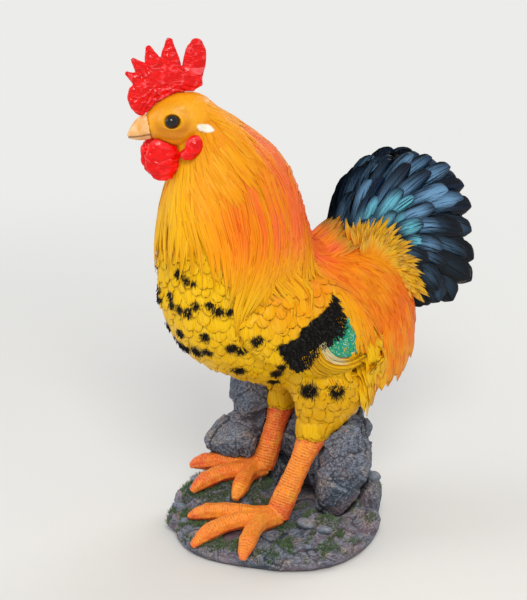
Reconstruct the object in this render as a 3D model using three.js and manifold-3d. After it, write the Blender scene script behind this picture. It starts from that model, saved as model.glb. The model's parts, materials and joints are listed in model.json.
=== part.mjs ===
// Rooster garden sculpture: hollow painted castings standing on a rock base.
// Millimetres, +Z up. The bird faces -Y, its left side is +X, and the origin is
// the centre of the base's underside.
import * as THREE from 'three';
import { mergeVertices } from 'three/addons/utils/BufferGeometryUtils.js';
import Module from 'manifold-3d';

const wasm = await Module();
wasm.setup();

// Driving dimensions
const GLUE_GAP = 0.3; // space left for adhesive between two castings
const WALL = 6; // thickness of the hollow body castings

const BASE_RADIUS = 102;
const BASE_RIM_HEIGHT = 15;
const BASE_TOP_HEIGHT = 28;
const BASE_WALL = 9;
const BASE_RIM_WIDTH = 12;
const BASE_LEDGE = 6; // how far the closing plate overlaps the casting
const PLATE_THICKNESS = 5;
const PAD_THICKNESS = 3;
const PAD_PROUD = 1; // how far the pad stands below the rock rim
const PAD_INSET = 2;

const ROD_RADIUS = 4;
const ROD_CLEARANCE = 0.15;
const ROD_IN_THIGH = 38; // how far a leg rod runs up past the shank
const ROD_OFF_PLATE = 3; // how far a leg rod's lower end stays above the plate
const BOSS_RADIUS = 13;
const FOOT_FLOOR = 4; // casting left between a toe's pocket and the room in the base

const SHANK_TOP_RADIUS = 13;
const SHANK_MID_RADIUS = 10.5;
const ANKLE_RADIUS = 12;
const TOE_RADIUS = 8.6;
const CLAW_RADIUS = 3.2;
const THIGH_DROP = 58; // height of a thigh above the top of its shank

const HEAD_PIVOT_Y = -78; // the head turns about a vertical line here
const HEAD_TURN = -12; // degrees, towards the bird's right
const COMB_THICKNESS = 9;
const LOCKS = 18; // main locks of feathers round the neck and the body
const LOCK_DEPTH = 1.3; // how deep the hollows between them are
const LOCK_SWEEP = 28; // degrees that the neck's locks drift towards the nape
// Places on the head: forward of the pivot, and above or below the head's middle.
const EYE = { radius: 6.8, bulge: 5, forward: 31, above: 3, inset: 1.6 };
const WATTLE = { forward: 38, below: 32.5, across: 9.5, depth: 6.5, half: 16.5, drop: 20.5 };
const LOBE = { forward: 13, below: 19, depth: 5.5, half: 8, drop: 10.5 };

const NECK_JOINT_FRONT = 250; // height of the neck joint at the breast
const NECK_JOINT_BACK = 303; // and at the nape
const NECK_PIN = { radius: 1.5, length: 18 };

const WING_THICKNESS = 7;

const TAIL = { y: 84, z: 262, radius: 16, socket: 24, sweep: 24, perSide: 12, coverts: 6 };
const TAIL_PIN_RADIUS = 4;
const TAIL_PIN_LENGTH = 70;

const COLUMN_PIN_LENGTH = 46;
const COLUMN_PIN = { x: -32, y: 46, low: 122 };
const COLUMN_POCKET = 4; // how deep the rock column stands in the base's top
const COLUMN_WALL = 10;

const DEG = Math.PI / 180;
const v3 = (x, y, z) => new THREE.Vector3(x, y, z);
const X_AXIS = v3(1, 0, 0);
const Z_AXIS = v3(0, 0, 1);
const plateTop = PAD_THICKNESS + GLUE_GAP + PLATE_THICKNESS;

// Materials
const paint = (colour, roughness, metalness = 0) =>
  new THREE.MeshStandardMaterial({ color: colour, roughness, metalness });
const materials = {
  feather: paint('#f7a312', 0.45),
  coverts: paint('#f2b60e', 0.5),
  tail: paint('#14303f', 0.35),
  comb: paint('#e0161c', 0.25),
  beak: paint('#e8a873', 0.4),
  eye: paint('#08080a', 0.05),
  leg: paint('#ee7420', 0.5),
  rock: paint('#595a66', 0.8),
  plate: paint('#8a8780', 0.9),
  pad: paint('#1d1d1f', 0.95),
  steel: paint('#a9abad', 0.35, 1),
};

// Solids

// A closed three.js geometry as a solid for cutting and joining.
function solid(geometry) {
  const bare = new THREE.BufferGeometry();
  bare.setAttribute('position', geometry.getAttribute('position'));
  bare.setIndex(geometry.getIndex());
  const merged = mergeVertices(bare, 1e-4);
  return new wasm.Manifold(
    new wasm.Mesh({
      numProp: 3,
      vertProperties: new Float32Array(merged.getAttribute('position').array),
      triVerts: new Uint32Array(merged.getIndex().array),
    }),
  );
}

function geometryOf(made) {
  const mesh = made.getMesh();
  const geometry = new THREE.BufferGeometry();
  geometry.setAttribute('position', new THREE.BufferAttribute(mesh.vertProperties, 3));
  geometry.setIndex(new THREE.BufferAttribute(mesh.triVerts, 1));
  geometry.computeVertexNormals();
  return geometry;
}

const joined = (solids) => solids.reduce((sum, next) => sum.add(next));
const cut = (body, ...tools) => tools.reduce((left, tool) => left.subtract(tool), body);
const largest = (made) =>
  made.decompose().reduce((best, next) => (next.volume() > best.volume() ? next : best));

// A named mesh of a solid, with its own origin at the given point.
function piece(name, made, material, origin = v3(0, 0, 0)) {
  const geometry = geometryOf(made).translate(-origin.x, -origin.y, -origin.z);
  const mesh = new THREE.Mesh(geometry, material);
  mesh.name = name;
  mesh.position.copy(origin);
  return mesh;
}

// A closed skin over rings that all have the same number of points.
function skin(rings) {
  const count = rings[0].length;
  const points = rings.flat();
  const faces = [];
  for (let ring = 0; ring + 1 < rings.length; ring += 1) {
    for (let side = 0; side < count; side += 1) {
      const a = ring * count + side;
      const b = ring * count + ((side + 1) % count);
      faces.push(a, b, b + count, a, b + count, a + count);
    }
  }
  for (const [ring, flip] of [[0, true], [rings.length - 1, false]]) {
    const middle = rings[ring].reduce((sum, p) => sum.add(p), v3(0, 0, 0));
    points.push(middle.divideScalar(count));
    for (let side = 0; side < count; side += 1) {
      const pair = [ring * count + side, ring * count + ((side + 1) % count)];
      faces.push(...(flip ? pair.reverse() : pair), points.length - 1);
    }
  }
  const geometry = new THREE.BufferGeometry();
  geometry.setAttribute('position', new THREE.Float32BufferAttribute(points.flatMap((p) => [p.x, p.y, p.z]), 3));
  geometry.setIndex(faces);
  const made = solid(geometry);
  if (made.volume() > 0) return made;
  geometry.setIndex(faces.reverse());
  return solid(geometry);
}

// Growing a body also moves its rings apart along its length, from end to end.
const endShift = (grow, share) => grow * (2 * share - 1);

const line = (pairs) => new THREE.SplineCurve(pairs.map(([a, b]) => new THREE.Vector2(a, b)));
const along = (values, t) => line(values.map((value, i) => [i, value])).getPoint(t).y;

// A body between two outlines in the YZ plane: at each step an oval joins a point
// of one outline to the same step of the other, half as wide as the half list says.
// Hollows is a depth below the smooth skin for a step and a turn from the front line.
function outlineLoft({ front, back, half }, { rings = 20, sides = 24, grow = 0, from = 0, to = 1, hollows } = {}) {
  const frontLine = line(front);
  const backLine = line(back);
  const all = [];
  for (let i = 0; i <= rings; i += 1) {
    const t = from + ((to - from) * i) / rings;
    const a = frontLine.getPoint(t);
    const b = backLine.getPoint(t);
    const middle = a.clone().add(b).multiplyScalar(0.5);
    const reach = b.clone().sub(a).multiplyScalar(0.5);
    reach.setLength(Math.max(reach.length() + grow, 1));
    const wide = Math.max(along(half, t) + grow, 1);
    const ahead = frontLine.getTangent(t).add(backLine.getTangent(t)).normalize();
    middle.addScaledVector(ahead, endShift(grow, i / rings));
    const ring = [];
    const long = reach.length();
    for (let side = 0; side < sides; side += 1) {
      const turn = (2 * Math.PI * side) / sides;
      const depth = hollows ? hollows(t, Math.PI - turn, i) : 0;
      ring.push(v3(
        (wide - depth) * Math.sin(turn),
        middle.x + reach.x * (1 - depth / long) * Math.cos(turn),
        middle.y + reach.y * (1 - depth / long) * Math.cos(turn),
      ));
    }
    all.push(ring);
  }
  return skin(all);
}

// A limb along a curve through the points. Its section is an oval, across by deep,
// whose deep side looks towards up.
function limb({ points, across, deep = across, up = Z_AXIS }, { steps = 10, sides = 10, grow = 0 } = {}) {
  const curve = new THREE.CatmullRomCurve3(points);
  const rings = [];
  for (let i = 0; i <= steps; i += 1) {
    const t = i / steps;
    const ahead = curve.getTangent(t);
    const centre = curve.getPoint(t).addScaledVector(ahead, endShift(grow, t));
    const acrossWay = new THREE.Vector3().crossVectors(ahead, up).normalize();
    const deepWay = new THREE.Vector3().crossVectors(acrossWay, ahead).normalize();
    const ring = [];
    for (let side = 0; side < sides; side += 1) {
      const turn = (2 * Math.PI * (side + 0.5)) / sides;
      ring.push(centre.clone()
        .addScaledVector(acrossWay, (along(across, t) + grow) * Math.cos(turn))
        .addScaledVector(deepWay, (along(deep, t) + grow) * Math.sin(turn)));
    }
    rings.push(ring);
  }
  return skin(rings);
}

// A round bar between two points.
function bar(start, end, radius, sides = 14) {
  const length = start.distanceTo(end);
  const geometry = new THREE.CylinderGeometry(radius, radius, length, sides);
  geometry.translate(0, length / 2, 0);
  const turn = new THREE.Quaternion().setFromUnitVectors(v3(0, 1, 0), end.clone().sub(start).normalize());
  geometry.applyQuaternion(turn).translate(start.x, start.y, start.z);
  return solid(geometry);
}

// An ellipsoid turned about X, then placed.
function ellipsoid(centre, radii, turnX = 0, [wide, high] = [14, 10]) {
  const geometry = new THREE.SphereGeometry(1, wide, high);
  geometry.scale(radii.x, radii.y, radii.z).rotateX(turnX * DEG);
  return solid(geometry.translate(centre.x, centre.y, centre.z));
}

const mirrorX = (made) => made.mirror([1, 0, 0]);

// Neck, head and body

const TORSO = {
  front: [[-117, 268], [-109, 300], [-86, 318], [-45, 318], [0, 300], [40, 292], [84, 298], [128, 268], [148, 212]],
  back: [[-117, 254], [-110, 222], [-88, 190], [-50, 167], [-4, 150], [45, 137], [92, 130], [130, 145], [147, 190]],
  half: [7, 34, 53, 62, 66, 65, 57, 38, 8],
};
const NECK = {
  front: [[-80, 214], [-112, 238], [-117, 264], [-119, 294], [-118, 321], [-113, 348], [-106, 372], [-100, 394],
    [-95, 414], [-88, 426]],
  back: [[15, 225], [36, 258], [34, 284], [27, 307], [20, 330], [10, 360], [-5, 386], [-34, 409], [-58, 424],
    [-72, 431]],
  half: [38, 58, 65, 63, 58, 50, 41, 32, 24, 12],
};
// The head's and the beak's outlines run forward from the pivot, so Y is minus that.
const HEAD = {
  front: [[17, 424], [3, 438], [-14, 443], [-30, 440], [-42, 433], [-50, 425], [-53, 417]],
  back: [[19, 398], [4, 391], [-14, 391], [-30, 394], [-42, 400], [-50, 405], [-53, 411]],
  half: [16, 22, 24, 22, 17, 10, 4],
};
const BEAK = {
  front: [[-40, 426], [-50, 425.5], [-58, 421], [-64, 414], [-68, 406]],
  back: [[-38, 402], [-48, 401], [-56, 400.5], [-62, 401.5], [-67, 403]],
  half: [13, 11.5, 8.5, 5, 1.5],
};

const turned = (made) => made
  .rotate([0, 0, HEAD_TURN])
  .translate([0, HEAD_PIVOT_Y, 0]);

const torso = (options) => outlineLoft(TORSO, { rings: 16, sides: 4 * LOCKS, ...options });
const neck = (options) => outlineLoft(NECK, { rings: 12, sides: 4 * LOCKS, ...options });
// Hollows between the locks of feathers. On the neck they drift towards the nape. On the
// body they are staggered rows at the breast, and long hollows over the back.
const groove = (place) => LOCK_DEPTH * (1 - Math.abs(Math.sin(place)));
const fadeIn = (t, over) => Math.min(1, t / over, (1 - t) / over);
const neckHollows = (t, turn) => {
  const drift = LOCK_SWEEP * DEG * Math.sin(Math.PI * Math.min(1, 1.15 * (1 - t))) * Math.sin(turn);
  return fadeIn(t, 0.12) * groove((LOCKS / 2) * (turn - drift));
};
const bodyHollows = (t, turn, row) => {
  const stagger = t < 0.45 ? (row % 2) * (Math.PI / 2) : 0;
  return fadeIn(t, 0.15) * groove((LOCKS / 2) * turn + stagger);
};
const head = (options) => turned(outlineLoft(HEAD, { rings: 10, sides: 18, ...options }));
const beakShape = (options) => turned(outlineLoft(BEAK, { rings: 7, sides: 12, ...options }));

// The height of the head's middle, above its pivot.
const headMiddle = (HEAD.front[2][1] + HEAD.back[2][1]) / 2;

// How far out the head's side is at a distance forward of the pivot.
function headHalfAt(forward) {
  const steps = HEAD.front.map(([y]) => -y);
  const after = steps.findIndex((step) => step > forward);
  const share = (forward - steps[after - 1]) / (steps[after] - steps[after - 1]);
  return along(HEAD.half, (after - 1 + share) / (HEAD.half.length - 1));
}

// Legs
const LEGS = {
  left: {
    top: v3(40, 18, 112),
    ankle: v3(38, -14, 47),
    heel: v3(38, -20, 33),
    palm: v3(38, -34, 33),
    toes: [
      [v3(30, -62, 33), v3(25, -90, 24), v3(23, -104, 13)],
      [v3(17, -57, 37), v3(-6, -78, 31), v3(-17, -88, 24)],
      [v3(53, -53, 33), v3(69, -70, 26), v3(76, -78, 16)],
    ],
  },
  right: {
    top: v3(-34, 24, 118),
    ankle: v3(-31, 6, 68),
    heel: v3(-31, 0, 54),
    palm: v3(-32, -12, 53),
    toes: [
      [v3(-36, -38, 54), v3(-39, -62, 47), v3(-41, -73, 38)],
      [v3(-16, -27, 53), v3(-3, -40, 48), v3(3, -48, 41)],
      [v3(-53, -28, 57), v3(-74, -46, 52), v3(-83, -54, 46)],
    ],
  },
};

function shankAndFoot({ top, ankle, heel, palm, toes }, grow = 0) {
  const middle = top.clone().lerp(ankle, 0.5);
  const shank = limb({
    points: [top, middle, ankle, heel],
    across: [SHANK_TOP_RADIUS, SHANK_MID_RADIUS, ANKLE_RADIUS, ANKLE_RADIUS],
    up: v3(0, 1, 0),
  }, { steps: 7, sides: 12, grow });
  const feet = toes.map((points) => limb({
    points: [heel, palm.clone().lerp(points[0], 0.3), ...points],
    across: [ANKLE_RADIUS - 1, ANKLE_RADIUS - 1.5, TOE_RADIUS, TOE_RADIUS, CLAW_RADIUS],
  }, { steps: 7, sides: 8, grow }));
  return joined([shank, ...feet]);
}

const rodAxis = ({ top, ankle }) => top.clone().sub(ankle).normalize();
// The point of a leg rod's centre line at a height.
function rodAt(leg, height) {
  const way = rodAxis(leg);
  return leg.top.clone().addScaledVector(way, (height - leg.top.z) / way.z);
}
const legRod = (leg, grow = 0) =>
  bar(rodAt(leg, plateTop + ROD_OFF_PLATE - grow), rodAt(leg, leg.top.z + ROD_IN_THIGH + grow), ROD_RADIUS + grow);

function thigh({ top }, side, grow = 0) {
  const high = THIGH_DROP;
  return limb({
    points: [
      top.clone(),
      top.clone().add(v3(0, 6, high * 0.28)),
      top.clone().add(v3(-side * 2, 14, high * 0.62)),
      top.clone().add(v3(-side * 6, 20, high)),
    ],
    across: [SHANK_TOP_RADIUS + 1.5, 23, 28, 27],
    deep: [SHANK_TOP_RADIUS + 1.5, 27, 40, 46],
    up: v3(0, 1, 0),
  }, { steps: 8, sides: 18, grow });
}

// Rocks

// A worn boulder: a squarish ball with soft bumps and a few worn flats.
function boulder([x, y, z], [rx, ry, rz], turn, grow = 0) {
  const geometry = new THREE.IcosahedronGeometry(1, Math.max(rx, ry, rz) > 28 ? 2 : 1);
  const at = geometry.getAttribute('position');
  const p = new THREE.Vector3();
  const flats = Array.from({ length: 7 }, (_, i) => v3(
    Math.cos(2.4 * i + turn),
    Math.sin(2.4 * i + turn),
    0.9 * Math.sin(1.7 * i + 2 * turn),
  ).normalize());
  for (let i = 0; i < at.count; i += 1) {
    p.fromBufferAttribute(at, i);
    const square = (Math.abs(p.x) ** 3 + Math.abs(p.y) ** 3 + Math.abs(p.z) ** 3) ** (-1 / 3);
    const bump = 1 + 0.07 * Math.sin(3.1 * p.x + turn) * Math.cos(2.7 * p.y - turn) + 0.06 * Math.sin(4.3 * p.z + 2 * turn);
    p.multiplyScalar((0.45 + 0.55 * square) * bump);
    flats.forEach((flat) => p.addScaledVector(flat, -0.9 * Math.max(0, p.dot(flat) - 0.8)));
    at.setXYZ(i, p.x * (rx + grow), p.y * (ry + grow), p.z * (rz + grow));
  }
  geometry.rotateX(0.25 * Math.sin(turn)).rotateY(0.2 * Math.cos(turn)).rotateZ(turn);
  return solid(geometry.translate(x, y, z));
}

const COLUMN_ROCKS = [
  [[-38, 54, 72], [36, 34, 68], 0.4],
  [[-60, 8, 124], [25, 30, 42], 1.9],
  [[-64, -12, 74], [31, 34, 31], 2.6],
  [[46, 46, 70], [29, 32, 56], 0.9],
  [[8, 64, 64], [36, 28, 52], 2.1],
  [[-10, 78, 92], [24, 20, 34], 3.3],
  [[-58, 40, 44], [34, 36, 38], 5.1],
  [[-52, 24, 98], [22, 25, 38], 0.8],
];
const BASE_ROCKS = [
  [[-40, -26, 24], [52, 44, 22], 0.3],
  [[-70, -56, 14], [24, 22, 16], 1.1],
  [[-42, -84, 10], [20, 16, 12], 2.2],
  [[48, 60, 16], [30, 26, 22], 2.9],
  [[36, 70, 28], [27, 22, 38], 4.4],
  [[66, 8, 20], [22, 22, 20], 1.7],
  [[66, 26, 11], [18, 24, 12], 5.2],
  [[-40, 78, 15], [32, 22, 20], 0.7],
  [[66, -34, 8], [24, 26, 12], 3.9],
];

// The base's outline is a circle with a few soft lobes.
function baseRing(inset, height, sides = 36) {
  const ring = [];
  for (let side = 0; side < sides; side += 1) {
    const turn = (2 * Math.PI * side) / sides;
    const lobes = 1 + 0.025 * Math.sin(3 * turn + 1) + 0.02 * Math.sin(5 * turn + 2.2);
    const reach = BASE_RADIUS * lobes - inset;
    ring.push(v3(reach * Math.cos(turn), reach * Math.sin(turn), height));
  }
  return ring;
}
const slab = (inset, low, high, sides) => skin([baseRing(inset, low, sides), baseRing(inset, high, sides)]);

const mound = skin([
  baseRing(2, PAD_PROUD),
  baseRing(0, BASE_RIM_HEIGHT * 0.5),
  baseRing(1, BASE_RIM_HEIGHT),
  baseRing(14, BASE_RIM_HEIGHT + (BASE_TOP_HEIGHT - BASE_RIM_HEIGHT) * 0.55),
  baseRing(44, BASE_TOP_HEIGHT - 2),
  baseRing(80, BASE_TOP_HEIGHT),
]);

const legSolid = { left: shankAndFoot(LEGS.left), right: shankAndFoot(LEGS.right) };
const legRoom = { left: shankAndFoot(LEGS.left, GLUE_GAP), right: shankAndFoot(LEGS.right, GLUE_GAP) };
const rodRoom = { left: legRod(LEGS.left, ROD_CLEARANCE), right: legRod(LEGS.right, ROD_CLEARANCE) };

const roomInBase = cut(
  slab(BASE_RIM_WIDTH + BASE_LEDGE, 0, BASE_TOP_HEIGHT - BASE_WALL, 24),
  bar(rodAt(LEGS.left, -20), rodAt(LEGS.left, 60), BOSS_RADIUS),
  bar(rodAt(LEGS.right, -20), rodAt(LEGS.right, 60), BOSS_RADIUS),
  shankAndFoot(LEGS.left, FOOT_FLOOR),
  shankAndFoot(LEGS.right, FOOT_FLOOR),
);
const plateSeat = slab(BASE_RIM_WIDTH, 0, plateTop + GLUE_GAP);

const columnSeat = BASE_TOP_HEIGHT - COLUMN_POCKET;
const columnFloor = slab(-60, -20, columnSeat);
const columnRoomFloor = slab(-60, -20, columnSeat - GLUE_GAP);
const columnRocks = (grow) => joined(COLUMN_ROCKS.map(([at, size, turn]) => boulder(at, size, turn, grow)));

const baseRocks = joined(BASE_ROCKS.map(([at, size, turn]) => boulder(at, size, turn)));
const belowGround = slab(-80, -60, PAD_PROUD);

// Body castings
const bodySkin = joined([
  torso({ hollows: bodyHollows }),
  neck({ hollows: neckHollows }),
  head(),
  thigh(LEGS.left, 1),
  thigh(LEGS.right, -1),
]);
const bodyRoom = joined([
  torso({ rings: 8, sides: 14, grow: -WALL, from: 0.09, to: 0.9 }),
  neck({ rings: 7, sides: 14, grow: -WALL, from: 0.1, to: 0.78 }),
]);

// Everything above the tilted plane of the neck joint, raised by a distance.
function aboveNeckJoint(raise) {
  const [frontY] = NECK.front[2];
  const [backY] = NECK.back[2];
  const rise = Math.atan2(NECK_JOINT_BACK - NECK_JOINT_FRONT, backY - frontY);
  const size = 600;
  const block = new THREE.BoxGeometry(size, size, size).translate(0, 0, size / 2 + raise);
  block.rotateX(rise).translate(0, frontY, NECK_JOINT_FRONT);
  return solid(block);
}

// The three steel pins that line up the neck joint, on the middle of its wall.
const neckPins = [-100, 30, 150].map((degrees) => {
  const turn = degrees * DEG;
  const wide = NECK.half[2] - WALL / 2 - 1;
  const [frontY] = NECK.front[2];
  const [backY] = NECK.back[2];
  const reach = (backY - frontY) / 2 - WALL / 2 - 1;
  const y = (frontY + backY) / 2 + reach * Math.sin(turn);
  const share = (y - frontY) / (backY - frontY);
  const z = NECK_JOINT_FRONT + (NECK_JOINT_BACK - NECK_JOINT_FRONT) * share;
  return v3(wide * Math.cos(turn), y, z);
});
const neckPin = (at, grow = 0) => {
  const half = v3(0, 0, NECK_PIN.length / 2 + grow);
  return bar(at.clone().sub(half), at.clone().add(half), NECK_PIN.radius + grow, 10);
};

// Tail
const tailRoot = v3(0, TAIL.y, TAIL.z);
// How far the fan reaches from its root, between two angles above the rear.
const TAIL_REACH = { low: -42, high: 96, reach: [76, 112, 134, 128, 130, 134, 132, 124, 112, 92, 62] };
const tailReach = (angle) =>
  along(TAIL_REACH.reach, (angle - TAIL_REACH.low) / (TAIL_REACH.high - TAIL_REACH.low));
const fanPoint = (angle, reach, x = 0) =>
  v3(x, TAIL.y + reach * Math.cos(angle * DEG), TAIL.z + reach * Math.sin(angle * DEG));

// One curved feather of the fan, whose tip points at an angle above the rear.
function tailFeather(angle, share, [rootX, tipX], half, side) {
  const points = [];
  const reach = tailReach(angle) * share;
  for (let step = 0; step <= 5; step += 1) {
    const s = 0.14 + (0.86 * step) / 5;
    points.push(fanPoint(angle + TAIL.sweep * (1 - s), reach * s, side * (rootX + (tipX - rootX) * s)));
  }
  return limb({
    points,
    across: [0.5, 0.8, 1, 1.1, 1.05, 0.5].map((part) => part * half),
    deep: [5, 5.5, 5, 4.5, 3.5, 1.5],
    up: X_AXIS,
  }, { steps: 6, sides: 6 });
}
// The body of the fan, under its feathers.
function fanCore() {
  const sides = 30;
  const ring = (share, x) => Array.from({ length: sides }, (_, side) => {
    const angle = -180 + (360 * side) / sides;
    const inFan = angle > TAIL_REACH.low && angle < TAIL_REACH.high;
    return fanPoint(angle, inFan ? Math.max(tailReach(angle) * share, 26) : 26 + 20 * (share - 0.8), x);
  });
  return skin([ring(0.5, -17), ring(0.85, -12), ring(0.95, -7), ring(0.95, 7), ring(0.85, 12), ring(0.5, 17)]);
}
function tailFan() {
  const parts = [fanCore()];
  for (const side of [1, -1]) {
    for (let k = 0; k < TAIL.perSide; k += 1) {
      const angle = 88 - (124 * k) / (TAIL.perSide - 1);
      parts.push(tailFeather(angle, 1, [12, 8 + 3 * (k % 2)], 11.5, side));
    }
    for (let k = 0; k < TAIL.coverts; k += 1) {
      parts.push(tailFeather(76 - (94 * k) / (TAIL.coverts - 1), 0.74, [16, 14], 10, side));
    }
  }
  return joined(parts);
}
const tailWay = v3(0, -0.8, -0.6);
const tailSocketEnd = tailRoot.clone().addScaledVector(tailWay, TAIL.socket);
const tailStub = (grow = 0) => bar(
  tailRoot.clone().addScaledVector(tailWay, -22),
  tailSocketEnd.clone().addScaledVector(tailWay, grow),
  TAIL.radius + grow,
  18,
);
const tailPinStart = tailRoot.clone().addScaledVector(tailWay, -28);
const tailPin = (grow = 0) => bar(
  tailPinStart.clone().addScaledVector(tailWay, -grow),
  tailPinStart.clone().addScaledVector(tailWay, TAIL_PIN_LENGTH + grow),
  TAIL_PIN_RADIUS + grow,
);
// A boss inside the body that takes the end of the tail's pin.
const tailBoss = bar(tailRoot.clone().addScaledVector(tailWay, -10), tailSocketEnd.clone().addScaledVector(tailWay, 22), TAIL.radius + WALL, 18);

// Wings: a layer over the body's side, cut out along the wing's outline.
const WING_OUTLINE = [[-70, 232], [-52, 252], [-18, 268], [20, 268], [48, 250], [66, 222], [78, 196], [58, 184],
  [30, 178], [0, 178], [-30, 190], [-56, 208]];
function wingShape(side) {
  const outline = new THREE.CatmullRomCurve3(WING_OUTLINE.map(([y, z]) => v3(0, y, z)), true).getPoints(30).slice(0, -1);
  const reach = 2 * TORSO.half[4];
  const inPlane = (x) => outline.map((p) => v3(x, p.y, p.z));
  const prism = skin([inPlane(TORSO.half[4] / 3), inPlane(reach)]);
  return (side > 0 ? prism : mirrorX(prism)).intersect(torso({ sides: 24, grow: WING_THICKNESS }));
}

// Column pin, up from the rock into the belly
const columnPinAt = v3(COLUMN_PIN.x, COLUMN_PIN.y, COLUMN_PIN.low);
const upFromPin = (height) => columnPinAt.clone().add(v3(0, 0, height));
const columnPin = (grow = 0) => bar(upFromPin(-grow), upFromPin(COLUMN_PIN_LENGTH + grow), ROD_RADIUS + grow);
const columnBoss = bar(upFromPin(0), upFromPin(COLUMN_PIN_LENGTH + WALL), ROD_RADIUS + WALL);
// The column is hollow from below, up to a wall under the pin.
const columnRoom = cut(
  joined(COLUMN_ROCKS.slice(0, 1).map(([at, size, turn]) => boulder(at, size, turn, -COLUMN_WALL))),
  bar(upFromPin(-COLUMN_WALL), upFromPin(200), 120),
);

// Comb, wattles, lobes and eyes, in the head's own frame

// Each part of the comb: points forward of the pivot and up, then half widths.
const COMB_PARTS = [
  { at: [[53, 433], [35, 447], [17, 452], [1, 456]], half: [11, 14, 14, 10], thick: [0.9, 1, 1, 1] },
  { at: [[46, 446], [55, 446], [58, 438], [56, 430], [52, 424]], half: [9, 10, 9.5, 7, 4], thick: [1, 0.95, 0.9, 0.85, 0.6] },
  { at: [[46, 448], [59, 456], [68, 462]], half: [8, 5.5, 1.8], thick: [0.9, 0.75, 0.4] },
  { at: [[42, 450], [54, 465], [62, 474]], half: [8, 6.5, 1.8], thick: [1, 0.8, 0.4] },
  { at: [[34, 452], [43, 471], [47, 485]], half: [9, 7.5, 1.8], thick: [1, 0.8, 0.4] },
  { at: [[24, 454], [28, 474], [28, 491]], half: [9, 8, 2], thick: [1, 0.85, 0.4] },
  { at: [[10, 452], [6, 466], [4, 480], [3, 489]], half: [10, 10.5, 9, 3.5], thick: [1, 0.95, 0.85, 0.5] },
];
function combShape() {
  return turned(joined(COMB_PARTS.map(({ at, half, thick }) => limb({
    points: at.map(([forward, height]) => v3(0, -forward, height)),
    across: half,
    deep: thick.map((share) => (share * COMB_THICKNESS) / 2),
    up: X_AXIS,
  }, { steps: 6, sides: 8 }))));
}
const eyeAt = v3(headHalfAt(EYE.forward) - EYE.inset, -EYE.forward, headMiddle + EYE.above);
const eyeShape = (side, grow = 0) => turned(ellipsoid(
  v3(side * eyeAt.x, eyeAt.y, eyeAt.z),
  v3(EYE.bulge + grow, EYE.radius + grow, EYE.radius * 0.92 + grow),
));
const wattleShape = (side, grow = 0) => turned(ellipsoid(
  v3(side * WATTLE.across, -WATTLE.forward, headMiddle - WATTLE.below),
  v3(WATTLE.depth + grow, WATTLE.half + grow, WATTLE.drop + grow),
  6,
));
function lobeShape(side) {
  const out = side * (headHalfAt(LOBE.forward) + 1);
  return turned(joined([
    ellipsoid(v3(out, -LOBE.forward, headMiddle - LOBE.below), v3(LOBE.depth, LOBE.half, LOBE.drop), -18, [14, 10]),
    ellipsoid(v3(out * 0.96, -LOBE.forward - 5, headMiddle - LOBE.below - 7), v3(LOBE.depth, LOBE.half, LOBE.half * 0.75), 0, [14, 10]),
  ]));
}

// Assembly
const grown = {
  torso: torso({ grow: GLUE_GAP }),
  neck: neck({ grow: GLUE_GAP }),
  head: head({ grow: GLUE_GAP }),
  beak: beakShape({ grow: GLUE_GAP }),
};
const thighRoom = joined([thigh(LEGS.left, 1, GLUE_GAP), thigh(LEGS.right, -1, GLUE_GAP)]);
const pins = joined(neckPins.map((at) => neckPin(at, ROD_CLEARANCE)));
const bodyShell = cut(
  cut(bodySkin, bodyRoom).add(tailBoss.intersect(bodySkin)).add(columnBoss.intersect(bodySkin)),
  pins,
);
// Everything below the plane where a shank meets its thigh is left to the leg.
const belowThigh = ({ top }) => {
  const size = 70;
  const block = new THREE.BoxGeometry(size, size, size);
  return solid(block.translate(top.x, top.y, top.z - size / 2 + GLUE_GAP));
};
const torsoShell = largest(cut(
  bodyShell,
  aboveNeckJoint(-GLUE_GAP / 2),
  belowThigh(LEGS.left),
  belowThigh(LEGS.right),
  rodRoom.left,
  rodRoom.right,
  tailStub(GLUE_GAP),
  tailPin(ROD_CLEARANCE),
  columnPin(ROD_CLEARANCE),
));
const eyes = { left: eyeShape(1), right: eyeShape(-1) };
const headCasting = largest(cut(
  bodyShell.intersect(aboveNeckJoint(GLUE_GAP / 2)),
  eyeShape(1, GLUE_GAP),
  eyeShape(-1, GLUE_GAP),
));
const beak = largest(cut(beakShape(), grown.head));
const comb = largest(cut(combShape(), grown.head, grown.beak, grown.neck));
const wattles = {
  left: largest(cut(wattleShape(1), grown.head, grown.beak, grown.neck)),
  right: largest(cut(wattleShape(-1), grown.head, grown.beak, grown.neck)),
};
const lobes = {
  left: largest(cut(lobeShape(1), grown.head, grown.neck, wattleShape(1, GLUE_GAP))),
  right: largest(cut(lobeShape(-1), grown.head, grown.neck, wattleShape(-1, GLUE_GAP))),
};
const wing = (side) => largest(cut(wingShape(side), grown.torso, grown.neck, thighRoom));
const tail = largest(cut(
  cut(tailFan(), grown.torso).add(tailStub()),
  tailPin(ROD_CLEARANCE),
));
const flatTop = ({ top }, made) => {
  const size = 80;
  const block = new THREE.BoxGeometry(size, size, size);
  return cut(made, solid(block.translate(top.x, top.y, top.z + size / 2)));
};
const legs = {
  left: cut(flatTop(LEGS.left, legSolid.left), rodRoom.left),
  right: cut(flatTop(LEGS.right, legSolid.right), rodRoom.right),
};
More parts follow.
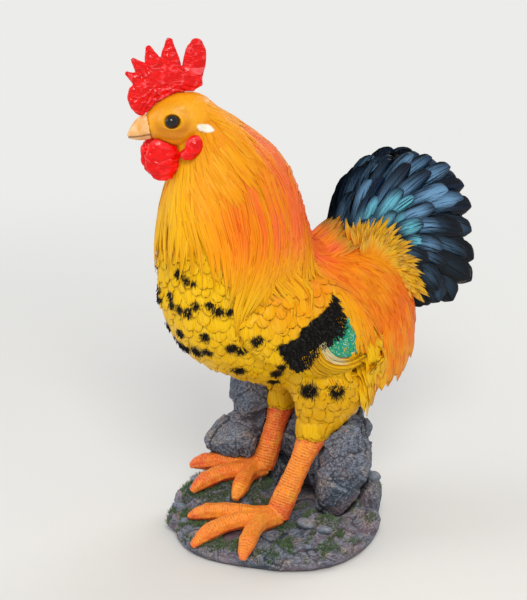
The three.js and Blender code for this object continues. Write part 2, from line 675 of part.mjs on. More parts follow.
// The column stays solid round the leg that stands in it.
const legBlock = bar(LEGS.right.top, rodAt(LEGS.right, 0), BOSS_RADIUS + COLUMN_WALL);
const column = largest(cut(
  columnRocks(0),
  columnFloor,
  cut(columnRoom, legBlock),
  grown.torso,
  thighRoom,
  legRoom.left,
  legRoom.right,
  rodRoom.left,
  rodRoom.right,
  columnPin(ROD_CLEARANCE),
));
const rockBase = largest(cut(
  joined([mound, baseRocks]),
  belowGround,
  roomInBase,
  plateSeat,
  cut(columnRocks(GLUE_GAP), columnRoomFloor),
  legRoom.left,
  legRoom.right,
  rodRoom.left,
  rodRoom.right,
));
const plate = cut(
  slab(BASE_RIM_WIDTH + GLUE_GAP, PAD_THICKNESS + GLUE_GAP, plateTop),
);
const pad = slab(BASE_RIM_WIDTH + PAD_INSET, 0, PAD_THICKNESS);

const rooster = new THREE.Group();
const stand = new THREE.Group();
stand.add(
  piece('base_pad', pad, materials.pad),
  piece('base_plate', plate, materials.plate),
  piece('rock_base', rockBase, materials.rock),
  piece('rock_column', column, materials.rock, columnPinAt),
  piece('column_pin', columnPin(), materials.steel, columnPinAt),
);
const body = new THREE.Group();
body.add(
  piece('left_leg', legs.left, materials.leg, LEGS.left.ankle),
  piece('right_leg', legs.right, materials.leg, LEGS.right.ankle),
  piece('left_leg_rod', legRod(LEGS.left), materials.steel, LEGS.left.ankle),
  piece('right_leg_rod', legRod(LEGS.right), materials.steel, LEGS.right.ankle),
  piece('torso_shell', torsoShell, materials.feather),
  piece('left_wing', wing(1), materials.coverts),
  piece('right_wing', wing(-1), materials.coverts),
  piece('tail', tail, materials.tail, tailRoot),
  piece('tail_pin', tailPin(), materials.steel, tailRoot),
);
neckPins.forEach((at, i) => body.add(piece(`neck_pin_${i + 1}`, neckPin(at), materials.steel, at)));
const headPivot = v3(0, HEAD_PIVOT_Y, headMiddle);
const headPieces = new THREE.Group();
headPieces.add(
  piece('neck_and_head', headCasting, materials.feather, headPivot),
  piece('beak', beak, materials.beak, headPivot),
  piece('comb', comb, materials.comb, headPivot),
  piece('left_wattle', wattles.left, materials.comb, headPivot),
  piece('right_wattle', wattles.right, materials.comb, headPivot),
  piece('left_earlobe', lobes.left, materials.comb, headPivot),
  piece('right_earlobe', lobes.right, materials.comb, headPivot),
  piece('left_eye', eyes.left, materials.eye, headPivot),
  piece('right_eye', eyes.right, materials.eye, headPivot),
);
rooster.add(stand, body, headPieces);

export default rooster;
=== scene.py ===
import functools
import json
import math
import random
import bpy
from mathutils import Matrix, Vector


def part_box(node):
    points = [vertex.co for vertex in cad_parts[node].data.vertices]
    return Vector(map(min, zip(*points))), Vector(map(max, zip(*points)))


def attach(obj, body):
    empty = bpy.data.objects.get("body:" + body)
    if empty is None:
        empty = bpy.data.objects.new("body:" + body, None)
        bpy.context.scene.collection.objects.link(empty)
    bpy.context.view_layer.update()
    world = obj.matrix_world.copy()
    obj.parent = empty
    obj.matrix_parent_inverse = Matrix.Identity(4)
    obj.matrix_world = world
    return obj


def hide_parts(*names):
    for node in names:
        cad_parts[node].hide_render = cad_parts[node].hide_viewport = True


bl_info = {
    "name": "Rooster garden sculpture",
    "version": (1, 0, 0),
    "blender": (4, 5, 0),
    "location": "3D View > Sidebar > Rooster",
    "description": "Dresses the castings of a rooster sculpture with feathers, scales, rock and paint",
    "category": "Add Mesh",
}

import bmesh
import bpy
from bpy.props import FloatProperty, FloatVectorProperty, IntProperty, PointerProperty
from mathutils import Matrix, Vector, noise
from mathutils.bvhtree import BVHTree
from mathutils.kdtree import KDTree

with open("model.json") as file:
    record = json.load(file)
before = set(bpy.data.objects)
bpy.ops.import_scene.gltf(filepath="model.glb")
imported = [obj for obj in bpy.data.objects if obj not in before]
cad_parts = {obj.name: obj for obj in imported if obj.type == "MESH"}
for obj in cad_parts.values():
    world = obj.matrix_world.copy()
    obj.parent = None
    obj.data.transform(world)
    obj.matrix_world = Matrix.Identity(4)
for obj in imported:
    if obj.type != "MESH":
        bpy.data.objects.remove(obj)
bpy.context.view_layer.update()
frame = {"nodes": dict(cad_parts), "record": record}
MM = 0.001
SIDES = {"left": 1, "right": -1}

# Places shared with the castings, in millimetres. The bird faces -Y and its left is +X.
NECK_FRONT = (
    (-80, 214), (-112, 238), (-117, 264), (-119, 294), (-118, 321),
    (-113, 348), (-106, 372), (-100, 394), (-95, 414), (-88, 426),
)
NECK_BACK = (
    (15, 225), (36, 258), (34, 284), (27, 307), (20, 330),
    (10, 360), (-5, 386), (-34, 409), (-58, 424), (-72, 431),
)
NECK_HALF = (38, 58, 65, 63, 58, 50, 41, 32, 24, 12)
HEAD_PIVOT = Vector((0, -78, 417))
HEAD_TURN = math.radians(-12)
# Middle of the eye and of the comb's fan, in the head's own frame
EYE = Vector((0, -31, 420))
COMB_HEART = Vector((0, -22, 414))
TAIL_ROOT = (84, 262)
TAIL_LOW, TAIL_HIGH = -42, 96
TAIL_REACH = (76, 112, 134, 128, 130, 134, 132, 124, 112, 92, 62)
LEG_PATHS = {
    "left_leg": {
        "shank": ((40, 18, 112), (39, 2, 79.5), (38, -14, 47), (38, -20, 33)),
        "toes": (
            ((38, -20, 33), (34, -34, 33), (30, -62, 33), (25, -90, 24), (23, -104, 13)),
            ((38, -20, 33), (30, -36, 34), (17, -57, 37), (-6, -78, 31), (-17, -88, 24)),
            ((38, -20, 33), (43, -36, 33), (53, -53, 33), (69, -70, 26), (76, -78, 16)),
        ),
    },
    "right_leg": {
        "shank": ((-34, 24, 118), (-32.5, 15, 93), (-31, 6, 68), (-31, 0, 54)),
        "toes": (
            ((-31, 0, 54), (-33, -18, 53), (-36, -38, 54), (-39, -62, 47), (-41, -73, 38)),
            ((-31, 0, 54), (-26, -15, 53), (-16, -27, 53), (-3, -40, 48), (3, -48, 41)),
            ((-31, 0, 54), (-39, -16, 54), (-53, -28, 57), (-74, -46, 52), (-83, -54, 46)),
        ),
    },
}
# Distances between feathers, as shares of their half width
HACKLE_PITCH, SCALLOP_GAP, SADDLE_GAP = 1.35, 1.35, 1.4
# Where the saddle feathers fan out from, on each side of the back
SADDLE_HEART = Vector((36, 6, 306))
# The castings under the body's feathers, the grain of their common skin and how often it is smoothed
BODY_SKIN = (("torso_shell", "neck_and_head", "left_wing", "right_wing"), 2.2, 5)
# How far round a neck pin that skin is raised to cover it, in millimetres
PIN_COVER = 8


# Small maths

def clamp(value, low=0.0, high=1.0):
    return max(low, min(high, value))


def ease(value, low=0.0, high=1.0):
    """Goes smoothly from 0 to 1 as the value goes from low to high."""
    share = clamp((value - low) / (high - low))
    return share * share * (3 - 2 * share)


def mixed(a, b, share):
    return a + (b - a) * share


def hill(value, centre, width):
    """1 where the value is at the centre, and falling off like a bell on both sides."""
    return math.exp(-((value - centre) / width) ** 2)


def along(values, share):
    """A smooth curve through evenly spaced numbers, at a share of its length."""
    place = clamp(share) * (len(values) - 1)
    index = min(int(place), len(values) - 2)
    t = place - index
    p = [values[min(max(index + k, 0), len(values) - 1)] for k in (-1, 0, 1, 2)]
    return 0.5 * (
        2 * p[1]
        + (p[2] - p[0]) * t
        + (2 * p[0] - 5 * p[1] + 4 * p[2] - p[3]) * t * t
        + (3 * p[1] - p[0] - 3 * p[2] + p[3]) * t ** 3
    )


def path_point(points, share):
    return Vector([along([p[axis] for p in points], share) for axis in range(len(points[0]))])


def paint(red, green, blue):
    """A paint given in screen values of 0 to 255, as the shader wants it."""
    def linear(value):
        value /= 255
        return value / 12.92 if value <= 0.04045 else ((value + 0.055) / 1.055) ** 2.4
    return (linear(red), linear(green), linear(blue))


def wobble(point, size, octaves=3):
    """Soft noise from about -1 to 1, with bumps of a size in millimetres."""
    return noise.fractal(Vector(point) / size, 1.0, 2.0, octaves)


def head_straight(point):
    """A place on the turned head, in the head's own frame, which looks forward along -Y."""
    offset = Vector((point[0], point[1] - HEAD_PIVOT.y, 0))
    spot = Matrix.Rotation(-HEAD_TURN, 3, "Z") @ offset
    return Vector((spot.x, spot.y, point[2]))


# Settings that a user would change

def colour_setting(name, description, *rgb):
    return FloatVectorProperty(
        name=name, description=description, subtype="COLOR", size=3, min=0, max=1, default=paint(*rgb)
    )


def length_setting(name, description, millimetres):
    return FloatProperty(name=name, description=description, default=millimetres, min=0.1)


class PlumagePaints(bpy.types.PropertyGroup):
    yellow: colour_setting("Yellow", "Paint of the breast and of the feather tips", 246, 194, 8)
    gold: colour_setting("Gold", "Darker yellow, low on the body", 220, 164, 8)
    orange: colour_setting("Orange", "Paint of the hackle and the wing coverts", 250, 152, 12)
    fire: colour_setting("Fire orange", "Strongest orange, on the saddle and the hackle", 250, 108, 4)
    coral: colour_setting("Coral", "Pink wash over the back", 254, 108, 62)
    umber: colour_setting("Umber", "Brown tips of the feathers before the tail", 150, 104, 60)
    straw: colour_setting("Straw", "Pale tips of the feathers round the tail", 222, 178, 76)
    soot: colour_setting("Soot", "Black of the smudges and the wing bar", 14, 12, 10)
    glitter: colour_setting("Glitter green", "Patch behind the wing bar", 10, 164, 96)
    flake_teal: colour_setting("Teal flakes", "Blue green in the patch", 8, 150, 150)
    flake_pale: colour_setting("Pale flakes", "Silver green in the patch", 190, 230, 210)
    # Pale flakes are painted glints of the glitter
    flake_lime: colour_setting("Lime flakes", "Yellow green in the patch", 150, 190, 40)
    cream: colour_setting("Cream", "Pale lines under the green patch", 236, 226, 176)


class PlumageSizes(bpy.types.PropertyGroup):
    hackle_width: length_setting("Hackle width", "Half width of a neck feather, in millimetres", 2.9)
    hackle_rows: IntProperty(name="Hackle rows", description="Rows of neck feathers", default=8, min=2)
    scallop_width: length_setting("Scallop width", "Half width of a breast feather, in millimetres", 7.2)
    scallop_length: length_setting("Scallop length", "Length of a breast feather, in millimetres", 18)
    saddle_width: length_setting("Saddle width", "Half width of a saddle feather, in millimetres", 3.1)
    lift: length_setting("Lift", "How far a feather's tip stands off the skin, in millimetres", 1.8)


class TailSettings(bpy.types.PropertyGroup):
    black: colour_setting("Black", "Ground paint of the tail", 7, 10, 13)
    navy: colour_setting("Navy", "Dark blue of the blades", 36, 72, 122)
    # Pearl blue: the blades' blue paint, also laid along their ridges as painted sheen
    pearl: colour_setting("Pearl blue", "Blue dry-brushed over the blades", 128, 178, 226)
    # Teal: painted glints on some blades
    teal: colour_setting("Teal", "Brightest touches", 120, 228, 250)
    blades: IntProperty(name="Blades", description="Blades of a side's inner row", default=12, min=6)
    blade_width: length_setting("Blade width", "Half width of a long blade, in millimetres", 12.5)


class HeadSettings(bpy.types.PropertyGroup):
    face: colour_setting("Face", "Smooth paint round the eye", 249, 176, 24)
    # Face shade is painted shade round the eye and under it
    shade: colour_setting("Face shade", "Ring round the eye and the cheek under it", 206, 128, 8)
    red: colour_setting("Red", "Enamel of the comb and the wattles", 252, 4, 6)
    # Rose: painted highlights on the tops of the enamel's wrinkles
    painted_highlight: colour_setting("Rose", "Tops of the enamel's wrinkles", 252, 112, 120)
    horn: colour_setting("Horn", "Paint of the beak", 240, 172, 92)
    horn_pale: colour_setting("Pale horn", "Lighter places of the beak", 250, 206, 150)
    mouth: colour_setting("Mouth", "Line of the mouth", 96, 48, 16)
    eye: colour_setting("Eye", "Gloss black of the eye", 10, 8, 10)
    ear: colour_setting("Ear", "White ear patch", 246, 244, 226)


class StandSettings(bpy.types.PropertyGroup):
    rock: colour_setting("Rock", "Dark ground paint of the rocks", 60, 70, 84)
    purple: colour_setting("Purple rock", "Purple cast low on the rocks", 118, 98, 108)
    coal: colour_setting("Coal", "Darkest places of the rocks", 44, 48, 54)
    slate: colour_setting("Slate", "Blue-grey dry brush", 158, 168, 184)
    blush: colour_setting("Blush", "Pink-beige dry brush on the high places", 196, 180, 168)
    moss: colour_setting("Moss", "Dark green of the moss", 78, 104, 66)
    lichen: colour_setting("Lichen", "Pale green on the moss tips", 130, 154, 112)
    leg: colour_setting("Leg", "Orange of the legs", 254, 140, 16)
    leg_light: colour_setting("Light leg", "Yellow orange spots on the legs", 255, 168, 30)
    # Leg shade is painted shade on the legs
    leg_red: colour_setting("Leg shade", "Red orange in the legs' shaded parts", 238, 74, 8)
    moss_count: IntProperty(name="Moss tufts", description="How many tufts of moss", default=9600, min=0)


class StudioSettings(bpy.types.PropertyGroup):
    floor: colour_setting("Floor", "Colour of the floor and backdrop", 236, 236, 234)
    key: FloatProperty(name="Key light", description="Power of the main lamp", unit="POWER", default=31)
    fill: FloatProperty(name="Fill light", description="Power of the fill lamp", unit="POWER", default=11)
    sky: FloatProperty(name="Sky", description="Strength of the light from all round", default=0.5, min=0)


class Tones:
    """The colours of a settings group, as vectors."""

    def __init__(self, group):
        for key in group.__annotations__:
            value = getattr(group, key)
            if not isinstance(value, (int, float)):
                setattr(self, key, Vector(value))


# Shader helpers

class Socket:
    """A node's output that takes part in Python arithmetic."""

    def __init__(self, nodes, output):
        self.nodes = nodes
        self.output = output

    def maths(self, operation, *values):
        return self.nodes.node("ShaderNodeMath", {"operation": operation}, dict(enumerate(values)))

    def __add__(self, other):
        return self.maths("ADD", self, other)

    def __mul__(self, other):
        return self.maths("MULTIPLY", self, other)

    def __sub__(self, other):
        return self.maths("SUBTRACT", self, other)

    def __rsub__(self, other):
        return self.maths("SUBTRACT", other, self)

    def __abs__(self):
        return self.maths("ABSOLUTE", self)

    def higher(self, other):
        return self.maths("MAXIMUM", self, other)

    def sine(self):
        return self.maths("SINE", self)

    def ease(self, low, high):
        """0 below low, 1 above high, smooth between."""
        settings = {"interpolation_type": "SMOOTHSTEP"}
        return self.nodes.node("ShaderNodeMapRange", settings, {0: self, 1: low, 2: high})

    def beside(self, output):
        """Another output of the same node, by its number or name."""
        return Socket(self.nodes, self.output.node.outputs[output])

    __radd__ = __add__
    __rmul__ = __mul__


class Nodes:
    """The node tree of a material or a world, which starts empty."""

    def __init__(self, owner):
        owner.use_nodes = True
        self.tree = owner.node_tree
        self.tree.nodes.clear()

    def node(self, kind, settings=None, values=None, output=0):
        """Adds a node: its settings first, then a value or a link for each socket."""
        node = self.tree.nodes.new(kind)
        for key, value in (settings or {}).items():
            setattr(node, key, value)
        for key, value in (values or {}).items():
            if isinstance(value, Socket):
                self.tree.links.new(value.output, node.inputs[key])
            else:
                node.inputs[key].default_value = value
        return Socket(self, node.outputs[output]) if node.outputs else None


class Finish(Nodes):
    """A painted finish: one material, with methods that add its nodes."""

    def __init__(self, name, constants):
        self.material = bpy.data.materials.new(name)
        super().__init__(self.material)
        shader = self.node("ShaderNodeBsdfPrincipled", {}, constants)
        self.shader = shader.output.node
        self.node("ShaderNodeOutputMaterial", {}, {"Surface": shader})

    def mix(self, share, a, b, blend_type="MIX"):
        """Mixes two colours, each a socket or three numbers."""
        def full(value):
            return value if isinstance(value, Socket) else (*value, 1.0)
        settings = {"data_type": "RGBA", "blend_type": blend_type, "clamp_factor": True}
        return self.node("ShaderNodeMix", settings, {0: share, 6: full(a), 7: full(b)}, output=2)

    def dyed(self, colour, dye):
        return self.mix(1.0, colour, dye, "MULTIPLY")

    def attribute(self, name, output="Color"):
        return self.node("ShaderNodeAttribute", {"attribute_name": name}, output=output)

    def place(self, x=1.0, y=1.0, z=1.0):
        """Object coordinates in millimetres, stretched."""
        coords = self.node("ShaderNodeTexCoord", output="Object")
        scale = (x / MM, y / MM, z / MM)
        return self.node("ShaderNodeMapping", {}, {"Vector": coords, "Scale": scale})

    def vane(self):
        """How far across and along its feather a point lies, each from 0 to 1."""
        coords = self.node("ShaderNodeUVMap", {"uv_map": "vane"})
        across = self.node("ShaderNodeSeparateXYZ", {}, {0: coords})
        return across, across.beside(1)

    def combine(self, x, y, z):
        return self.node("ShaderNodeCombineXYZ", {}, {0: x, 1: y, 2: z})

    def grain(self, vector, size=1.0, detail=3.0, roughness=0.5, distortion=0.0):
        """Noise from 0 to 1 with bumps of a size, in the units of the vector."""
        values = {
            "Vector": vector, "Scale": 1 / size, "Detail": detail,
            "Roughness": roughness, "Distortion": distortion,
        }
        return self.node("ShaderNodeTexNoise", {}, values)

    def cells(self, vector, size):
        return self.node("ShaderNodeTexVoronoi", {}, {"Vector": vector, "Scale": 1 / size})

    def surface(self, colour=None, roughness=None, alpha=None, height=None, depth=1.0, strength=1.0):
        """Links what varies over the surface to the shader; depth is in millimetres."""
        for socket, value in (("Base Color", colour), ("Roughness", roughness), ("Alpha", alpha)):
            if value is not None:
                self.tree.links.new(value.output, self.shader.inputs[socket])
        if height is not None:
            values = {"Height": height, "Strength": strength, "Distance": depth * MM}
            bump = self.node("ShaderNodeBump", {}, values)
            self.tree.links.new(bump.output, self.shader.inputs["Normal"])
        return self.material


# Mesh helpers

def new_mesh(name, bm):
    """A mesh from a bmesh, which is used up."""
    mesh = bpy.data.meshes.new(name)
    bm.to_mesh(mesh)
    bm.free()
    return mesh


def new_object(name, data):
    made = bpy.data.objects.new(name, data)
    bpy.context.collection.objects.link(made)
    return made


def new_piece(name, bm, material, nodes=()):
    """Turns a bmesh in metres into a finished piece that rides on the root body."""
    piece = new_object(name, new_mesh(name, bm))
    piece.data.materials.append(material)
    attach(piece, "root")
    if nodes:
        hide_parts(*nodes)


def islands(bm):
    """The connected groups of vertices."""
    seen = set()
    for start in bm.verts:
        if start in seen:
            continue
        seen.add(start)
        group = [start]
        for vert in group:
            for edge in vert.link_edges:
                for end in edge.verts:
                    if end not in seen:
                        seen.add(end)
                        group.append(end)
        yield group


def spread(group):
    return sum(max(v.co[a] for v in group) - min(v.co[a] for v in group) for a in range(3))


def smooth(bm):
    for face in bm.faces:
        face.smooth = True


def skin_of(nodes, voxel, rounds):
    """A closed smooth skin over copies of CAD nodes, without their inner walls, in metres.

    voxel is the size of its faces in millimetres, and rounds is how often it is smoothed.
    """
    bm = bmesh.new()
    for node in nodes:
        bm.from_mesh(frame["nodes"][node].data)
    bmesh.ops.remove_doubles(bm, verts=bm.verts, dist=1e-6)
    mesh = new_mesh("rough", bm)
    rough = new_object("rough", mesh)
    remesh = rough.modifiers.new("remesh", "REMESH")
    remesh.mode = "VOXEL"
    remesh.voxel_size = voxel * MM
    graph = bpy.context.evaluated_depsgraph_get()
    made = bpy.data.meshes.new_from_object(rough.evaluated_get(graph))
    skin = bmesh.new()
    skin.from_mesh(made)
    bpy.data.objects.remove(rough)
    bpy.data.meshes.remove(mesh)
    bpy.data.meshes.remove(made)
    groups = sorted(islands(skin), key=spread)
    lost = [vert for group in groups[:-1] for vert in group]
    bmesh.ops.delete(skin, geom=lost, context="VERTS")
    for _ in range(rounds):
        bmesh.ops.smooth_vert(
            skin, verts=skin.verts, factor=0.5, use_axis_x=True, use_axis_y=True, use_axis_z=True
        )
    smooth(skin)
    skin.normal_update()
    return skin


def push(bm, height):
    """Moves each vertex out along its normal by what height gives for its place, in millimetres."""
    moves = [(vert, vert.normal * height(vert.co / MM, vert.normal) * MM) for vert in bm.verts]
    for vert, move in moves:
        vert.co += move
    bm.normal_update()


def tint_all(bm, colour):
    """Paints each vertex with the colour that a function gives for its place and normal."""
    layer = bm.verts.layers.float_color.get("tint") or bm.verts.layers.float_color.new("tint")
    for vert in bm.verts:
        vert[layer] = (*colour(vert.co / MM, vert.normal), 1.0)


@functools.cache
def pin_spots():
    """Middles of the neck's pins, in millimetres."""
    return [sum(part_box(f"neck_pin_{k}"), Vector()) / 2 / MM for k in (1, 2, 3)]


def over_pins(place):
    """1 over a neck pin and 0 away from it."""
    near = max(hill((place - pin).xy.length, 0, PIN_COVER) for pin in pin_spots())
    return near * ease(place.z, 230, 250) * (1 - ease(place.z, 304, 318))


@functools.cache
def body_skin():
    """The skin that the feathers lie on, sunk so that they end near the castings' surface.

    Gives its search tree and its points, in metres, from the top down.
    """
    skin = skin_of(*BODY_SKIN)
    push(skin, lambda p, n: -1.5 + 3.0 * over_pins(p))
    tree = BVHTree.FromBMesh(skin)
    points = sorted((vert.co.copy() for vert in skin.verts),
                    key=lambda p: (-round(p.z / MM / 1.6), math.atan2(p.x, -p.y)))
    skin.free()
    return tree, points


def scatter(points, gap, wanted):
    """Picks points at least a gap apart, in millimetres, where wanted says so."""
    taken, found = {}, []
    for point in points:
        spot = point / MM
        if not wanted(spot):
            continue
        cell = [int(c // gap) for c in spot]
        near = (
            other
            for dx in (-1, 0, 1) for dy in (-1, 0, 1) for dz in (-1, 0, 1)
            for other in taken.get((cell[0] + dx, cell[1] + dy, cell[2] + dz), ())
        )
        if all((other - spot).length > gap for other in near):
            taken.setdefault(tuple(cell), []).append(spot)
            found.append(point)
    return found


def vane_template(section, rows):
    """A unit feather: x across from -1 to 1, y along from 0 to 1, z from underside to top.

    The section lists points across the top and back underneath, and rows are the
    places along the feather where it is cut.
    """
    columns = len(section)
    bm = bmesh.new()
    bmesh.ops.create_grid(bm, x_segments=columns, y_segments=len(rows) - 1, size=1.0)
    uv = bm.loops.layers.uv.new("vane")
    spots = {
        vert: (round((vert.co.x + 1) / 2 * columns), round((vert.co.y + 1) / 2 * (len(rows) - 1)))
        for vert in bm.verts
    }
    for face in bm.faces:
        face.smooth = True
        for loop in face.loops:
            column, row = spots[loop.vert]
            loop[uv].uv = ((section[column % columns][0] + 1) / 2, rows[row])
    for vert, (column, row) in spots.items():
        across, height = section[column % columns]
        vert.co = Vector((across, rows[row], height))
    bmesh.ops.remove_doubles(bm, verts=bm.verts, dist=1e-5)
    rim = [edge for edge in bm.edges if edge.is_boundary]
    bmesh.ops.holes_fill(bm, edges=rim, sides=columns)
    bmesh.ops.recalc_face_normals(bm, faces=bm.faces)
    for edge in bm.edges:
        if all(abs(abs(vert.co.x) - 1) < 1e-5 for vert in edge.verts):
            edge.smooth = False
    return new_mesh("feather", bm)


# Feather shapes: the section, and the rows along the feather
TUFT = (((-1, 0), (0, 0.6), (1, 0), (0, -0.6)), (0, 0.5, 1))
SCALE = (
    ((-1, 0), (-0.6, 0.75), (0, 1), (0.6, 0.75), (1, 0), (0, -0.7)),
    (0, 0.3, 0.55, 0.74, 0.87, 0.95, 1),
)
STRAND = (
    ((-1, 0), (-0.55, 0.85), (-0.2, 0.6), (0.25, 1), (0.62, 0.6), (1, 0), (0, -0.7)),
    (0, 0.12, 0.27, 0.42, 0.57, 0.7, 0.81, 0.91, 1),
)
BLADE = (
    (
        (-1, 0), (-0.82, 0.62), (-0.5, 0.9), (-0.16, 0.72), (0, 1), (0.16, 0.72),
        (0.5, 0.9), (0.82, 0.62), (1, 0), (0.5, -0.5), (-0.5, -0.5),
    ),
    tuple(k / 16 for k in range(14)) + (0.87, 0.925, 0.965, 0.99, 1),
)
PATCH_ROWS = tuple(k / 14 for k in range(15))
PATCH = (
    tuple((2 * k - 1, math.sqrt(1 - (2 * k - 1) ** 2)) for k in PATCH_ROWS) + ((0, -0.5),),
    PATCH_ROWS,
)


class Coat:
    """A bmesh of many feathers of one shape, each laid along a line on a skin."""

    def __init__(self, shape, skin=None):
        self.template = vane_template(*shape)
        self.bm = bmesh.new()
        self.bm.loops.layers.uv.new("vane")
        self.tint = self.bm.verts.layers.float_color.new("tint")
        self.seed = self.bm.verts.layers.float.new("seed")
        self.soot = self.bm.verts.layers.float.new("soot")
        self.skin = skin
        self.count = 0

    def lay(self, line, half, rise, colour, thick=0.6, fade=0.0, soot=None):
        """Adds a feather along a line of points and normals, in metres.

        half and rise give its half width and its height over the skin for a share of
        its length, in millimetres; colour gives its paint for a place in millimetres.
        Its thickness falls by the share fade towards the tip.
        """
        start = len(self.bm.verts)
        self.bm.from_mesh(self.template)
        self.bm.verts.ensure_lookup_table()
        self.count += 1
        for index in range(start, len(self.bm.verts)):
            vert = self.bm.verts[index]
            across, share, height = vert.co
            place = share * (len(line) - 1)
            low = min(int(place), len(line) - 2)
            part = place - low
            (a, a_up), (b, b_up) = line[low], line[low + 1]
            spot, up = a.lerp(b, part), a_up.lerp(b_up, part).normalized()
            side = (b - a).cross(up).normalized()
            reach = spot + side * across * half(share) * MM
            if self.skin:
                ground, facing = self.skin.find_nearest(spot)[:2]
                lift = (spot - ground).dot(facing)
                under, lean = self.skin.find_nearest(reach)[:2]
                loose = ease(lift / MM, 1.0, 4.0)
                reach = (under + lean * lift).lerp(reach, loose)
                up = lean.lerp(up, loose).normalized()
            vert.co = reach + up * (rise(share, across) + height * thick * (1 - fade * share)) * MM
            vert[self.tint] = (*colour(reach / MM, across, share), 1.0)
            vert[self.seed] = self.count * 0.37 % 17
            vert[self.soot] = soot(reach / MM) if soot else 0.0


def trace(skin, start, heading, length, steps, cling=1.0):
    """Walks from a point, in metres, in the direction that heading gives for a place.

    The line keeps to the skin as far as cling says, and never goes through it.
    """
    point, normal = skin.find_nearest(Vector(start))[:2]
    line = [(point, normal)]
    for _ in range(steps):
        way = Vector(heading(point / MM)).normalized()
        if way.dot(normal) < 0 or cling == 1.0:
            way = (way - normal * way.dot(normal)).normalized()
        point = point + way * length / steps * MM
        ground, normal = skin.find_nearest(point)[:2]
        lift = (point - ground).dot(normal)
        point = ground + normal * max(0.0, lift * (1 - cling))
        line.append((point, normal))
    return line


def lancet(share, root, fullest=0.35, tip=1.0):
    """Half width of a pointed feather along its length, as a share of the widest."""
    return (root + (1 - root) * ease(share, 0, fullest)) * (1 - ease(share, 0.58, 1.04) ** (1 / tip))


def rounded(share, root=0.65):
    """Half width of a feather with a round tip."""
    if share < 0.5:
        return root + (1 - root) * ease(share, 0, 0.5)
    return math.sqrt(max(0.0, 1 - ((share - 0.5) / 0.5) ** 2.4)) * 0.985 + 0.015


def fading(root, tip, low, high):
    """A feather's paint, which goes from one colour to another between two shares of its length."""
    return lambda place, across, share: mixed(root, tip, ease(share, low, high))


# Plumage

def neck_place(fall, turn):
    """A point of the neck in millimetres: fall runs from 0 at the head to 1 at its foot,
    and turn from 0 degrees at the throat to 180 at the nape, negative on the right."""
    rise = 1 - fall
    front = Vector((0, *path_point(NECK_FRONT, rise)))
    back = Vector((0, *path_point(NECK_BACK, rise)))
    middle, angle = (front + back) / 2, math.radians(turn)
    half = along(NECK_HALF, rise)
    return middle + (front - middle) * math.cos(angle) + Vector((half * math.sin(angle), 0, 0))


def neck_girth(fall):
    """Length round the neck, in millimetres."""
    depth = (path_point(NECK_FRONT, 1 - fall) - path_point(NECK_BACK, 1 - fall)).length / 2
    return 2 * math.pi * math.hypot(depth, along(NECK_HALF, 1 - fall)) / math.sqrt(2)


# Plane at which the bare face ends: a point of it, and its direction away from the face
FACE_EDGE = Vector((0, -84, 401))
FACE_WAY = Vector((0, 0.74, -0.67))


def hackle_start(turn):
    """Where the neck feathers begin: just before the edge of the bare face, behind the ear patch."""
    fall = 0.0
    start = -16 + 14 * hill(abs(turn), 105, 26)
    while fall < 0.5 and (neck_place(fall, turn) - FACE_EDGE).dot(FACE_WAY) < start:
        fall += 0.01
    return fall


def hackle_end(turn):
    """Where the neck feathers end, as a share of the neck's length."""
    return along((0.72, 0.8, 0.96, 1.0, 1.0, 0.92, 0.82), abs(turn) / 180)


def swept(turn, fall):
    """Neck feathers sweep towards the nape before they fall, in wavy locks."""
    side = math.sin(math.radians(abs(turn)))
    drift = 28 * math.sin(math.pi * clamp(fall * 1.15)) * side
    gather = mixed(0.6 * (70 - abs(turn)), 6, ease(abs(turn), 104, 126))
    drift += gather * ease(fall, 0.35, 1.0) * side
    wave = 16 * wobble((turn / 30, fall * 2.3, 8.2), 1.0, 2)
    return turn + math.copysign(drift, turn) + wave


def hackle_paint(tones, fall, turn, streak):
    """Orange with coral streaks at the nape, fire orange at the side, yellow at the tips."""
    turn = abs(turn)
    colour = mixed(tones.yellow, tones.orange, ease(turn, 5, 75) * 0.6 + 0.25)
    side = hill(fall, 0.58, 0.19) * ease(turn, 35, 70)
    colour = mixed(colour, tones.fire, clamp(side * (0.35 + 0.8 * streak)))
    nape = ease(turn, 85, 150) * ease(fall, 0.08, 0.3) * (1 - ease(fall, 0.5, 0.85))
    colour = mixed(colour, tones.fire, nape * (0.35 + 0.5 * streak))
    coral = ease(turn, 60, 115) * ease(fall, 0.1, 0.3) * (1 - ease(fall, 0.55, 0.85))
    colour = mixed(colour, tones.coral, coral * ease(streak, 0.3, 0.75) * 0.75)
    low = ease(fall, 0.6, mixed(0.78, 0.88, ease(turn, 30, 70))) * (0.6 + 0.5 * streak)
    tip = mixed(tones.yellow, tones.orange, 0.35 * ease(turn, 55, 110))
    return mixed(colour, tip, clamp(low))


# Middles of the black smudges on breast and thighs and their size, in millimetres, mirrored
SMUDGES = (
    (22, -112, 283, 6), (29, -108, 278, 5), (35, -105, 276, 4), (10, -115, 260, 5), (10, -114, 251, 6),
    (21, -112, 249, 6), (31, -108, 248, 6), (38, -104, 256, 5), (46, -94, 258, 5), (50, -88, 252, 6),
    (54, -78, 251, 5), (56, -68, 255, 5), (13, -107, 224, 6), (38, -95, 226, 6), (5, -99, 206, 7),
    (20, -96, 206, 8), (31, -89, 208, 6), (48, -73, 214, 7), (50, -64, 211, 6), (64, -56, 223, 7),
    (32, -58, 186, 8), (59, -28, 192, 6), (44, -25, 181, 7), (32, -22, 169, 7), (53, 5, 161, 10),
    (62, 29, 159, 9),
)


def smudges_near(place, reach):
    spot = Vector((abs(place[0]), *place[1:]))
    return [smudge for smudge in SMUDGES if (spot - Vector(smudge[:3])).length < reach]


def soot_at(place, smudges):
    """How near the middle of a black smudge a place is: 1 inside, 0 well outside."""
    most = 0.0
    for x, y, z, size in smudges:
        away = math.hypot(abs(place[0]) - x, place[1] - y, (place[2] - z) * 1.15) / size
        most = max(most, 1 - ease(away, 0.2, 1.75))
    return most


